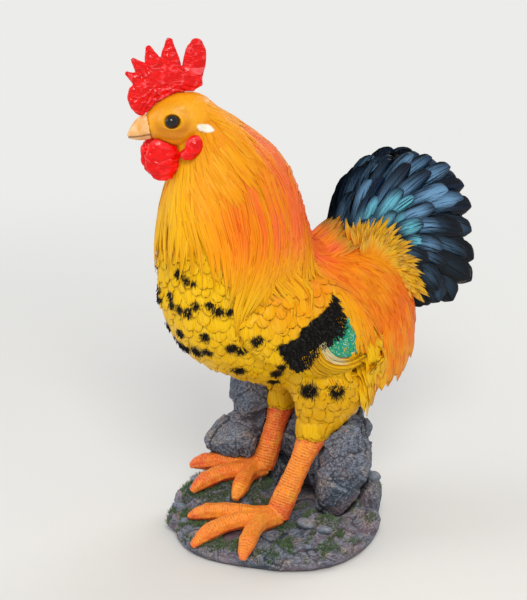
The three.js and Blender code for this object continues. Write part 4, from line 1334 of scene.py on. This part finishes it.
class ROOSTER_OT_head(bpy.types.Operator):
    """Model the face, beak, comb, wattles, earlobes and eyes"""

    bl_idname = "rooster.head"
    bl_label = "Head"

    def execute(self, context):
        tones = Tones(context.scene.rooster_head)
        self.face(tones, Tones(context.scene.rooster_plumage))
        self.beak(tones)
        self.comb(self.enamel(tones, "comb_enamel", 4.6, 0.6))
        red = self.enamel(tones, "wattle_enamel", 9.0, 0.3)
        gloss = eye_finish(tones)
        for side in SIDES:
            self.wattle(side + "_wattle", red)
            self.earlobe(side + "_earlobe", red)
            self.eye(side + "_eye", gloss)
        return {"FINISHED"}

    def face(self, tones, plumage):
        skin = skin_of(("neck_and_head",), 1.1, 10)
        whole = BVHTree.FromBMesh(skin)
        bmesh.ops.bisect_plane(
            skin, geom=skin.verts[:] + skin.edges[:] + skin.faces[:],
            plane_co=FACE_EDGE * MM, plane_no=FACE_WAY, clear_outer=True,
        )
        rim = [edge for edge in skin.edges if edge.is_boundary]
        bmesh.ops.holes_fill(skin, edges=rim, sides=0)
        skin.normal_update()

        def ear(place):
            """How far out from the middle of the ear patch a place is: 1 at its edge."""
            spot = head_straight(place)
            up = spot.z - 413
            return math.hypot((spot.y + 2 + up * 0.5) / 8, up / 4.4) + wobble(place, 3) * 0.15

        def height(place, normal):
            spot = head_straight(place)
            _, back, up = spot - EYE
            away = math.hypot(back * 0.86, up * 1.12)
            lids = 1.1 * hill(away, 7.6, 1.4)
            socket = -1.3 * hill(away, 12.2, 3.2) * ease(up + 0.5 * back, 6, -8)
            bag = 0.8 * hill(away, 16, 2.2) * ease(-up, 0, 8)
            brow = 1.4 * hill(up - 0.1 * back, 12, 3.4) * ease(spot.y, -44, -22)
            cheek = 0.9 * hill(math.hypot(spot.y + 14, spot.z - 404), 0, 9)
            under = ease((place - FACE_EDGE).dot(FACE_WAY), -15, -1)
            patch = 1 - ease(ear(place), 0.8, 1.1)
            relief = (lids + socket + bag + brow + cheek) * (1 - under)
            return -0.35 + relief - 2.4 * under * (1 - patch) + 1.3 * patch

        push(skin, height)

        def colour(place, normal):
            spot = head_straight(place)
            _, back, up = spot - EYE
            colour = mixed(tones.face, plumage.orange, ease(spot.y, -14, 14) * 0.7)
            # Painted shade: a darker ring round the eye's socket, and the cheek under the eye darker
            # still
            ring = hill(math.hypot(back, up), 13, 4)
            under = ease(-up, -4, 10) * ease(spot.y, -60, -40)
            colour = mixed(colour, tones.shade, clamp(ring * (0.35 + 0.4 * under) + under * 0.3))
            return mixed(colour, tones.ear, 1 - ease(ear(place), 0.85, 1.05))

        tint_all(skin, colour)
        finish = Finish("face_paint", {"Specular IOR Level": 0.3, "Coat Weight": 0.05})
        tint = finish.attribute("tint")
        fine = finish.grain(finish.place(), 2.2, 3.0)
        shade = finish.mix(fine.ease(0.35, 0.65) * 0.25, tint, finish.dyed(tint, (0.8, 0.55, 0.3)))
        finish.surface(shade, 0.3 + fine * 0.15, height=fine, depth=0.25)
        new_piece("face", skin, finish.material, ("neck_and_head",))
        self.crown(whole, tones, plumage)

    def crown(self, tree, tones, plumage):
        """Fine feathers that begin on the bare face and run back over the neck feathers."""
        coat, rng = Coat(STRAND, tree), random.Random(41)
        upward = Vector((0, 0.67, 0.74))
        count, around = 84, 72
        for row in range(3):
            for k in range(count):
                turn = math.tau * (k + rng.uniform(0, 1)) / around
                bend = abs(math.degrees(math.atan2(math.sin(turn), math.cos(turn))))
                out = Vector((math.sin(turn), 0, 0)) + upward * math.cos(turn)
                uneven = rng.uniform(-6, 4) * (1 - 0.5 * ease(bend, 50, 80))
                begin = mixed(-32, 3, ease(bend, 20, 72)) + uneven + 9 * row
                hit = tree.ray_cast((FACE_EDGE + FACE_WAY * begin + out * 70) * MM, -out)[0]
                if hit is None:
                    continue

                def heading(p):
                    return FACE_WAY + Vector((0, 0.2, -0.9 * ease((p - FACE_EDGE).dot(FACE_WAY), -5, 22)))

                line = trace(tree, hit, heading, rng.uniform(32, 50), 10)
                width = rng.uniform(1.5, 2.2)
                hot = rng.uniform(0, 0.5) + 0.12 * row

                def colour(place, across, share):
                    return mixed(tones.face, plumage.orange, clamp(hot + share * 0.5))

                def rise(share, across):
                    return mixed(-1.3, 0.45, ease(share, 0, 0.6)) - 1.1 * ease(share, 0.75, 1.0)

                coat.lay(line, lambda s: width * lancet(s, 0.4, 0.35, 0.7), rise, colour, 0.8, 0.6)
        finish = feather_finish("crown_paint", 0.5, length=1.2, barbs=5)
        new_piece("crown_feathers", coat.bm, finish)

    def beak(self, tones):
        skin = skin_of(("beak",), 0.7, 6)

        def mouth(place):
            """How far above the line of the mouth a place lies."""
            spot = head_straight(place)
            return spot.z - mixed(407.5, 404.5, ease(-spot.y, 44, 66)) + 1.5 * ease(-spot.y, 40, 48) - 1.5

        def height(place, normal):
            groove = hill(mouth(place), 0, 0.8) * ease(abs(normal.x) + abs(normal.y), 0.2, 0.6)
            return -0.1 - 0.9 * groove

        push(skin, height)

        def colour(place, normal):
            pale = mixed(tones.horn, tones.horn_pale, clamp(0.4 + wobble(place, 7)))
            return mixed(pale, tones.mouth, hill(mouth(place), 0, 0.9) * 0.85)

        tint_all(skin, colour)
        finish = Finish("horn_paint", {"Roughness": 0.34, "Specular IOR Level": 0.3})
        tint = finish.attribute("tint")
        fine = finish.grain(finish.place(1, 0.3, 1), 1.0, 3.0)
        shade = finish.mix((1 - fine.ease(0.3, 0.55)) * 0.25, tint, (0.5, 0.24, 0.07))
        finish.surface(shade, height=fine, depth=0.25)
        new_piece("beak_horn", skin, finish.material, ("beak",))

    def enamel(self, tones, name, size, pale):
        """Wet-looking red enamel, with wrinkles of a size in millimetres: painted shade in their valleys
        and paler painted highlights on their tops.
        """
        finish = Finish(name, {"Specular IOR Level": 0.1, "Coat Weight": 0.34, "Coat Roughness": 0.1})
        wrinkle = finish.grain(finish.place(1, 0.4, 1), size, 2.0, 0.45, 1.2)
        broad = finish.grain(finish.place(), 9.0, 2.0)
        colour = finish.mix(broad.ease(0.35, 0.65), tones.red * 0.88, tones.red)
        # Painted shade: darker red in the wrinkles' valleys
        colour = finish.mix((1 - wrinkle.ease(0.3, 0.5)) * 0.5, colour, tones.red * 0.6)
        # Painted highlight: paler rose on the wrinkles' tops, as much as pale says
        colour = finish.mix(wrinkle.ease(0.52, 0.72) * pale, colour, tones.painted_highlight)
        height = wrinkle.ease(0.25, 0.75) * 1.6 + broad
        return finish.surface(colour, 0.2 + broad * 0.1, height=height, depth=1.1, strength=0.8)

    def comb(self, red):
        skin = skin_of(("comb",), 0.8, 14)

        def height(place, normal):
            spot = head_straight(place)
            _, back, up = spot - COMB_HEART
            rise = math.hypot(back, up)
            turn = math.atan2(up, -back)
            flat = ease(abs(normal.x), 0.3, 0.8)
            folds = math.sin(rise * 1.35 + wobble(place, 14) * 4) * mixed(1.0, 0.15, ease(rise, 30, 46))
            fingers = math.sin(turn * 16 + wobble(place, 12) * 3) * 0.5 * ease(rise, 34, 46)
            fat = 0.9 * (1 - flat) * (1 - ease(abs(normal.z), 0.1, 0.8)) * ease(place.z, 440, 450)
            fat *= 1 - ease(-spot.y, 48, 60)
            return 0.15 + (folds + fingers + wobble(place, 9) * 0.4) * flat + fat

        push(skin, height)
        new_piece("comb_red", skin, red, ("comb",))

    def wattle(self, node, red):
        skin = skin_of((node,), 0.8, 5)
        low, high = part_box(node)
        middle = (low + high) / 2 / MM

        def height(place, normal):
            sag = math.hypot(place.y - middle.y, (place.z - high.z / MM) * 0.8)
            soft = wobble(place, 9)
            return math.sin(sag * 1.1 + soft * 3) * 0.45 * ease(sag, 8, 18) + soft * 0.5 - 0.1

        push(skin, height)
        new_piece(node + "_red", skin, red, (node,))

    def earlobe(self, node, red):
        skin = skin_of((node,), 0.7, 5)
        push(skin, lambda p, n: wobble(p, 4) * 0.35 - 0.05)
        new_piece(node + "_red", skin, red, (node,))

    def eye(self, node, gloss):
        low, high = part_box(node)
        bm = bmesh.new()
        bmesh.ops.create_uvsphere(bm, u_segments=40, v_segments=24, radius=1.0)
        bmesh.ops.scale(bm, verts=bm.verts, vec=(high - low) / 2 * 0.99)
        bmesh.ops.translate(bm, verts=bm.verts, vec=(low + high) / 2)
        smooth(bm)
        new_piece(node + "ball", bm, gloss, (node,))


def eye_finish(tones):
    constants = {"Roughness": 0.24, "Specular IOR Level": 0.2, "Coat Weight": 0.4, "Coat Roughness": 0.05}
    finish = Finish("eye_gloss", constants)
    pupil = finish.grain(finish.place(), 3.0, 2.0)
    return finish.surface(finish.mix(pupil.ease(0.4, 0.7) * 0.3, tones.eye, (0.012, 0.008, 0.01)))


# Legs

def leg_finish():
    """Satin paint in the tint, with small scales in relief and painted shade in the grooves between them.
    """
    finish = Finish("leg_paint", {"Roughness": 0.36, "Specular IOR Level": 0.18})
    tint = finish.attribute("tint")
    cells = finish.cells(finish.place(), 1.7)
    fine = finish.grain(finish.place(), 1.4, 3.0)
    light = finish.mix(0.6, tint, (1.0, 0.75, 0.35), "SCREEN")
    colour = finish.mix(fine.ease(0.3, 0.7) * 0.35, tint, light)
    # Painted shade in the grooves between the scales
    colour = finish.mix(cells.ease(0.5, 0.9) * 0.35, colour, finish.dyed(colour, (0.7, 0.3, 0.12)))
    return finish.surface(colour, height=(1 - cells) * 0.8 + fine * 0.4, depth=0.45, strength=0.8)


class ROOSTER_OT_legs(bpy.types.Operator):
    """Model the scaly shanks, toes and claws"""

    bl_idname = "rooster.legs"
    bl_label = "Legs"

    def execute(self, context):
        tones, plumage = Tones(context.scene.rooster_stand), Tones(context.scene.rooster_plumage)
        material = leg_finish()
        coat = Coat(SCALE)
        for name, paths in LEG_PATHS.items():
            tree = self.leg(name, paths, tones, material)
            self.cuff(coat, tree, Vector(paths["shank"][0]), plumage)
        new_piece("leg_cuffs", coat.bm, feather_finish("cuff_paint", 0.3, rim=1.0))
        return {"FINISHED"}

    def cuff(self, coat, tree, top, plumage):
        """Feathers that hang from the thigh over the top of the shank, in two rows."""
        rng = random.Random(17)
        body, around = body_skin()[0], 13
        for k in range(2 * around):
            turn = math.tau * (k + rng.uniform(-0.2, 0.2)) / around
            way = Vector((math.cos(turn), math.sin(turn), 0))
            row = k // around
            thigh = body.ray_cast((top + way * 50 + Vector((0, 0, 11 + 5 * row))) * MM, -way)[0]
            shank = tree.ray_cast((top + way * 40 - Vector((0, 0, 3 - 2.5 * row))) * MM, -way)[0]
            if thigh is None or shank is None:
                continue
            high = thigh + way * 0.2 * MM
            low = shank + way * (0.8 + 1.6 * row) * MM - Vector((0, 0, rng.uniform(0, 2))) * MM
            line = [(high.lerp(low, step / 4), way) for step in range(5)]
            tone = mixed(plumage.yellow, plumage.gold, rng.uniform(0.3, 1.0))
            coat.lay(line, lambda s: 6.2 * rounded(s, 0.9),
                     lambda s, a: -1.2 * a * a + 0.8 * math.sin(math.pi * s), lambda p, a, s: tone)

    def leg(self, name, paths, tones, material):
        skin = skin_of((name,), 0.65, 6)
        spines = [self.spine(paths["shank"])] + [self.spine(toe) for toe in paths["toes"]]

        marks = [(run, index, spot) for index, spine in enumerate(spines) for run, spot in spine]
        finder = KDTree(len(marks))
        for number, mark in enumerate(marks):
            finder.insert(mark[2], number)
        finder.balance()

        def rings(place, normal):
            """Which spine a place belongs to, the length run on it, and how deep in a groove it is."""
            _, number, _ = finder.find(place)
            run, index, _ = marks[number]
            run += (place - marks[number][2]).dot(directions[number])
            pitch = 2.7 if index == 0 else 2.3
            bent = run + wobble(place, 12) * 0.8 + (1.2 * abs(normal.x) if index == 0 else 0)
            return index, run, 1 - abs(math.sin(math.pi * bent / pitch)) ** 0.45

        directions = []
        for spine in spines:
            for step, (_, spot) in enumerate(spine):
                ahead = spine[min(step + 1, len(spine) - 1)][1] - spine[max(step - 1, 0)][1]
                directions.append(ahead.normalized())

        def front(index, normal, place):
            """How far a place lies on the ribbed front of the shank or top of a toe."""
            facing = ease(-normal.y, -0.45, 0.2) if index == 0 else 0.75 * ease(normal.z, 0.0, 0.5)
            return facing * ease(wobble(place, 8), -0.7, 0.1)

        def height(place, normal):
            index, run, groove = rings(place, normal)
            thick = 1.4 * (1 - ease(run, 0, 24)) if index == 0 else 0
            rib = (0.3 - groove) * 0.9 * front(index, normal, place)
            return rib + wobble(place, 5) * 0.5 - 0.1 + thick

        def colour(place, normal):
            index, run, groove = rings(place, normal)
            # Painted shade, with some random variation: redder on faces turned down or back, on the far
            # leg, at the top and foot of the shank and at the toes' tips and roots
            red = ease(-normal.z, -0.3, 0.7) * 0.8 + wobble(place, 14) * 0.6
            red += 0.3 * (1 - ease(place.x, -20, 10))
            if index == 0:
                red += 0.75 * (1 - ease(run, 0, 20)) + 0.6 * ease(run, 62, 84)
                red += 0.55 * ease(normal.y, -0.1, 0.8)
            else:
                red += 0.3 * ease(run, 55, 78) + 0.5 * (1 - ease(run, 0, 22)) * ease(normal.y, 0, 0.7)
            light = clamp(wobble(place + Vector((40, 0, 0)), 12) * 0.9 - 0.1)
            base = mixed(mixed(tones.leg, tones.leg_red, clamp(red)), tones.leg_light, light)
            # Painted shade: darker still in the grooves between the front's rings
            deep = clamp(groove ** 1.3 * 1.3) * front(index, normal, place)
            return mixed(base, tones.leg_red * 0.4, deep)

        push(skin, height)
        tint_all(skin, colour)
        tree = BVHTree.FromBMesh(skin)
        new_piece(name + "_scales", skin, material, (name,))
        return tree

    def spine(self, points):
        """Points along a path with the length run so far."""
        spine, run, last, steps = [], 0.0, path_point(points, 0), 60
        for step in range(steps + 1):
            spot = path_point(points, step / steps)
            run += (spot - last).length
            last = spot
            spine.append((run, spot))
        return spine


# Stand

def rock_finish(tones):
    """Matt grey paint, dry-brushed lighter on the high places, with a scratchy grain."""
    finish = Finish("rock_paint", {"Specular IOR Level": 0.2})
    tint = finish.attribute("tint")
    scratch = finish.grain(finish.place(1.3, 0.45, 1.1), 2.0, 6.0, 0.75, 0.9)
    patch = finish.grain(finish.place(), 16, 3.0)
    high = finish.attribute("high", "Fac")
    brush = scratch.ease(0.36, 0.66) * high.ease(0.15, 0.75)
    dry = finish.mix(patch.ease(0.48, 0.66) * 0.8, tones.slate, tones.blush)
    colour = finish.mix(brush * 0.85, tint, dry)
    colour = finish.mix((1 - scratch.ease(0.26, 0.48)) * 0.35, colour, (0.012, 0.011, 0.014))
    height = scratch + patch * 0.6
    return finish.surface(colour, 0.62 + scratch * 0.2, height=height, depth=0.9, strength=0.8)


# Size of a rock's flat facets, in millimetres
FACET = 30
# Loose-looking stones on the base: place, half sizes and turn in degrees
STONES = (
    ((-50, -60), (10, 5.5, 5.5), 70), ((-46, -84), (9, 5, 5), 30), ((-68, -52), (9, 6, 5), 50),
    ((63, -3), (10, 7, 4.5), 10), ((83, 6), (7, 5.5, 4), 40), ((-20, -90), (5, 4, 3), 0),
    ((52, 78), (8, 6, 5), 20), ((-50, 76), (9, 6, 5), 60), ((90, -16), (4, 4, 3), 0),
)
# Where moss grows thick: middle, size and strength of each bed
MOSS_BEDS = (
    ((-40, -40), 44, 0.9), ((-70, -30), 20, 0.9), ((-10, -74), 30, 0.7), ((30, -92), 24, 1.0),
    ((64, -72), 16, 0.8), ((70, -10), 26, 0.25), ((92, -40), 16, 0.7), ((86, 20), 18, 0.5),
)
# How far out moss is tried, to each side, and to the back
MOSS_REACH, MOSS_BACK = 104, 100


def moss_bed(place):
    """How thick moss grows at a place."""
    return max(
        strength * hill(math.hypot(place[0] - x, place[1] - y), 0, size)
        for (x, y), size, strength in MOSS_BEDS
    )


def ground_under(tree, x, y):
    """Where the top of a skin lies at x and y in millimetres, and its normal, or None twice."""
    above = Vector((x, y, 120)) * MM
    return tree.ray_cast(above, Vector((0, 0, -1)))[:2]


def rock_relief(place):
    """Flat slanting facets with sharp edges, ledges and pits, in millimetres."""
    warp = (wobble(place, FACET), wobble(place + Vector((9, 4, 2)), FACET), wobble(place, 22))
    spot = (place + Vector(warp) * 5) / FACET
    flats, spots = noise.voronoi(spot)
    lean = Vector(noise.cell_vector(spots[0] * 7.3))
    facet = (spot - spots[0]).dot(lean - Vector((0.5, 0.5, 0.5))) * 12
    crack = -0.2 * (1 - ease(flats[1] - flats[0], 0.0, 0.08))
    return facet + crack + wobble(place, 11, 2) * 0.6 + wobble(place, 4, 2) * 0.5 - 0.4


class ROOSTER_OT_stand(bpy.types.Operator):
    """Model the rocks of the base and column, with moss, and finish the hidden fittings"""

    bl_idname = "rooster.stand"
    bl_label = "Stand"

    def execute(self, context):
        settings = context.scene.rooster_stand
        tones = Tones(settings)
        material = rock_finish(tones)
        base = self.rock("rock_base", "base_rocks", 1.7, 1.3, tones, material)
        self.rock("rock_column", "column_rocks", 1.6, 3.2, tones, material)
        self.stones(base, tones, material)
        self.moss(base, settings.moss_count, tones)
        self.fittings()
        return {"FINISHED"}

    def rock(self, node, name, voxel, tallest, tones, material):
        """One of the stand's castings, with relief up to a height in millimetres over it."""
        skin = skin_of((node,), voxel, 2)
        strength = 0.7 + 0.1 * tallest
        push(skin, lambda p, n: -1.2 + clamp(rock_relief(p) * strength, -4.5, tallest) * ease(p.z, 3, 10))
        high = skin.verts.layers.float.new("high")
        for vert in skin.verts:
            near = sum((edge.other_vert(vert).co - vert.co).dot(vert.normal) for edge in vert.link_edges)
            hollow = near / MM / max(1, len(vert.link_edges))
            vert[high] = clamp(0.45 - hollow * 2.2 + 0.3 * vert.normal.z)

        def colour(place, normal):
            low = clamp(0.4 + wobble(place, 40)) * (1 - 0.7 * ease(place.z, 32, 60))
            dark = clamp(0.3 + wobble(place, 14)) * 0.6
            return mixed(mixed(tones.rock, tones.purple, low), tones.coal, dark)

        tint_all(skin, colour)
        tree = BVHTree.FromBMesh(skin)
        new_piece(name, skin, material, (node,))
        return tree

    def stones(self, tree, tones, material):
        """Puts each stone on the base, unless the surface there is high or missing."""
        bm = bmesh.new()
        for (x, y), half, turn in STONES:
            ground = ground_under(tree, x, y)[0]
            if ground is None or ground.z > 60 * MM:
                continue
            spin = Matrix.Rotation(math.radians(turn), 4, "Z") @ Matrix.Diagonal((*half, 1))
            made = bmesh.ops.create_icosphere(bm, subdivisions=4, radius=1.0, matrix=spin)
            for vert in made["verts"]:
                place = vert.co + Vector((x, y, 0)) * 1.7
                dent = 0.5 * (noise.voronoi(place / 7)[0][1] - 0.7) + 0.1 * wobble(place, 3)
                vert.co = (vert.co * (1 + 0.45 * dent) + Vector((0, 0, 0.15 * half[2]))) * MM + ground
        bm.normal_update()
        high = bm.verts.layers.float.new("high")
        for vert in bm.verts:
            vert[high] = clamp(0.35 + 0.5 * vert.normal.z)
        smooth(bm)
        tint_all(bm, lambda p, n: mixed(tones.rock, tones.slate, clamp(0.25 + 0.4 * wobble(p, 18))))
        new_piece("small_stones", bm, material)

    def moss(self, tree, count, tones):
        """Tiny tufts in patches, thickest round the far foot and at the front left."""
        coat, rng = Coat(TUFT), random.Random(7)
        tries = 0
        while coat.count < count and tries < count * 40:
            tries += 1
            x, y = rng.uniform(-MOSS_REACH, MOSS_REACH), rng.uniform(-MOSS_REACH, MOSS_BACK)
            ground, normal = ground_under(tree, x, y)
            if ground is None or normal.z < 0.25:
                continue
            place = ground / MM
            if wobble(place, 17) + moss_bed(place) < 0.2 + rng.random() * 0.25:
                continue
            aside = Vector((rng.uniform(-1, 1), rng.uniform(-1, 1), rng.uniform(0, 1)))
            lean = (normal * 0.8 + aside).normalized()
            top = ground + lean * rng.uniform(2.0, 4.6) * MM
            facing = lean.orthogonal().normalized()
            pale = rng.random() ** 2
            coat.lay([(ground - lean * 0.6 * MM, facing), (top, facing)],
                     lambda s: 0.7 * (1 - 0.92 * s), lambda s, a: 0.0,
                     lambda p, a, s: mixed(tones.moss, tones.lichen, clamp(pale * 0.8 + s * 0.3)), 0.35)
        finish = Finish("moss_paint", {"Roughness": 0.8, "Specular IOR Level": 0.2})
        tint = finish.attribute("tint")
        fine = finish.grain(finish.place(), 3.0, 2.0)
        finish.surface(finish.mix(fine.ease(0.4, 0.7) * 0.5, tint, (0.02, 0.035, 0.012)))
        new_piece("moss", coat.bm, finish.material)

    def fittings(self):
        """Gives the castings' steel pins, the closing plate and the pad their materials."""
        steel = Finish("drawn_steel", {"Metallic": 1.0, "Base Color": (0.4, 0.41, 0.42, 1.0)})
        drawn = steel.grain(steel.place(1, 1, 0.05), 0.4, 2.0)
        steel.surface(roughness=0.25 + drawn * 0.2, height=drawn, depth=0.05)
        board = Finish("resin_board", {})
        flecks = board.grain(board.place(), 1.5, 4.0)
        colour = board.mix(flecks, (0.2, 0.19, 0.17), (0.32, 0.3, 0.27))
        board.surface(colour, 0.6 + flecks * 0.2, height=flecks, depth=0.2)
        foam = Finish("foam_rubber", {})
        pores = foam.cells(foam.place(), 0.8)
        colour = foam.mix(pores.ease(0.2, 0.8), (0.02, 0.02, 0.021), (0.008, 0.008, 0.009))
        foam.surface(colour, 0.8 + pores * 0.15, height=pores, depth=0.3)
        finishes = {"steel": steel, "plate": board, "pad": foam}
        for subpart in frame["record"]["subparts"]:
            finish = finishes.get(subpart["material_slot"])
            if finish:
                mesh = frame["nodes"][subpart["node"]].data
                mesh.materials.clear()
                mesh.materials.append(finish.material)


# Studio

# Area lamps: name, place and size in metres, and colour
LAMPS = (
    ("key", (1.8, -0.8, 1.75), 0.8, (255, 250, 242)),
    ("fill", (-0.7, -1.8, 1.1), 1.2, (244, 248, 255)),
    ("rim", (-0.6, 1.6, 1.3), 1.0, (255, 255, 255)),
)
LAMP_TARGET = Vector((0, 0, 0.24))
# Where the camera looks, the direction from there to it and how far it stands off, in metres
CAMERA_TARGET = Vector((0, -0.015, 0.238))
CAMERA_WAY = Vector((0.8421, -0.4477, 0.3007))
CAMERA_DISTANCE = 1.6


class ROOSTER_OT_studio(bpy.types.Operator):
    """Set up the floor, the soft lamps and the camera"""

    bl_idname = "rooster.studio"
    bl_label = "Studio"

    def execute(self, context):
        settings = context.scene.rooster_studio
        bm = bmesh.new()
        bmesh.ops.create_grid(bm, x_segments=1, y_segments=1, size=6.0)
        floor = new_object("floor", new_mesh("floor", bm))
        finish = Finish("floor_paper", {"Specular IOR Level": 0.0, "Roughness": 0.9})
        away = finish.node("ShaderNodeVectorMath", {"operation": "LENGTH"}, {0: finish.place()}, output=1)
        soft = finish.grain(finish.place(), 400, 2.0)
        colour = finish.mix(soft * 0.3, tuple(settings.floor), Vector(settings.floor) * 0.97)
        finish.surface(colour, alpha=1 - away.ease(450, 1500))
        floor.data.materials.append(finish.material)
        self.world(context.scene, settings)
        for name, place, size, tone in LAMPS:
            lamp = bpy.data.lights.new(name, "AREA")
            lamp.energy = settings.key if name == "key" else settings.fill
            lamp.size, lamp.color = size, paint(*tone)
            self.aim(new_object(name, lamp), Vector(place), LAMP_TARGET - Vector(place))
        self.camera(context.scene)
        context.scene.view_settings.view_transform = "Standard"
        return {"FINISHED"}

    def world(self, scene, settings):
        """Even light from all round, while the camera, gloss and glass see the backdrop's colour."""
        scene.world = bpy.data.worlds.new("studio")
        nodes = Nodes(scene.world)
        values = {"Color": (1.0, 1.0, 1.0, 1.0), "Strength": settings.sky}
        light = nodes.node("ShaderNodeBackground", {}, values)
        seen = nodes.node("ShaderNodeBackground", {}, {"Color": (*settings.floor, 1.0)})
        rays = nodes.node("ShaderNodeLightPath")
        shown = rays.beside("Is Camera Ray")
        for kind in ("Is Glossy Ray", "Is Transmission Ray"):
            shown = shown.higher(rays.beside(kind))
        both = nodes.node("ShaderNodeMixShader", {}, {0: shown, 1: light, 2: seen})
        nodes.node("ShaderNodeOutputWorld", {}, {"Surface": both})

    def aim(self, thing, place, way):
        """Puts a lamp or a camera at a place, facing along a direction."""
        thing.location = place
        thing.rotation_euler = way.to_track_quat("-Z", "Y").to_euler()

    def camera(self, scene):
        """The photograph's view: from the bird's left front, a little above."""
        away = CAMERA_WAY * CAMERA_DISTANCE
        view = bpy.data.cameras.new("camera")
        view.lens, view.sensor_width, view.sensor_fit = 102.0, 36.0, "AUTO"
        scene.camera = new_object("camera", view)
        self.aim(scene.camera, CAMERA_TARGET + away, -away)


OPERATORS = (
    ROOSTER_OT_ground, ROOSTER_OT_hackle, ROOSTER_OT_breast, ROOSTER_OT_wing, ROOSTER_OT_saddle,
    ROOSTER_OT_tail, ROOSTER_OT_head, ROOSTER_OT_legs, ROOSTER_OT_stand, ROOSTER_OT_studio,
)
SETTINGS = {
    "rooster_plumage": PlumagePaints,
    "rooster_sizes": PlumageSizes,
    "rooster_tail": TailSettings,
    "rooster_head": HeadSettings,
    "rooster_stand": StandSettings,
    "rooster_studio": StudioSettings,
}


class ROOSTER_PT_panel(bpy.types.Panel):
    """Lists the sculpture's pieces and settings"""

    bl_idname = "ROOSTER_PT_panel"
    bl_label = "Rooster sculpture"
    bl_space_type = "VIEW_3D"
    bl_region_type = "UI"
    bl_category = "Rooster"

    def draw(self, context):
        for operator in OPERATORS:
            self.layout.operator(operator.bl_idname)
        for name, group in SETTINGS.items():
            box = self.layout.box()
            for key in group.__annotations__:
                box.prop(getattr(context.scene, name), key)


def register():
    for group in (*SETTINGS.values(), *OPERATORS, ROOSTER_PT_panel):
        bpy.utils.register_class(group)
    for name, group in SETTINGS.items():
        setattr(bpy.types.Scene, name, PointerProperty(type=group))


def unregister():
    for name in SETTINGS:
        delattr(bpy.types.Scene, name)
    for group in (ROOSTER_PT_panel, *reversed(OPERATORS), *SETTINGS.values()):
        bpy.utils.unregister_class(group)


def main():
    register()
    bpy.ops.rooster.ground()
    bpy.ops.rooster.hackle()
    bpy.ops.rooster.breast()
    bpy.ops.rooster.wing()
    bpy.ops.rooster.saddle()
    bpy.ops.rooster.tail()
    bpy.ops.rooster.head()
    bpy.ops.rooster.legs()
    bpy.ops.rooster.stand()
    bpy.ops.rooster.studio()


if __name__ == "__main__":
    main()
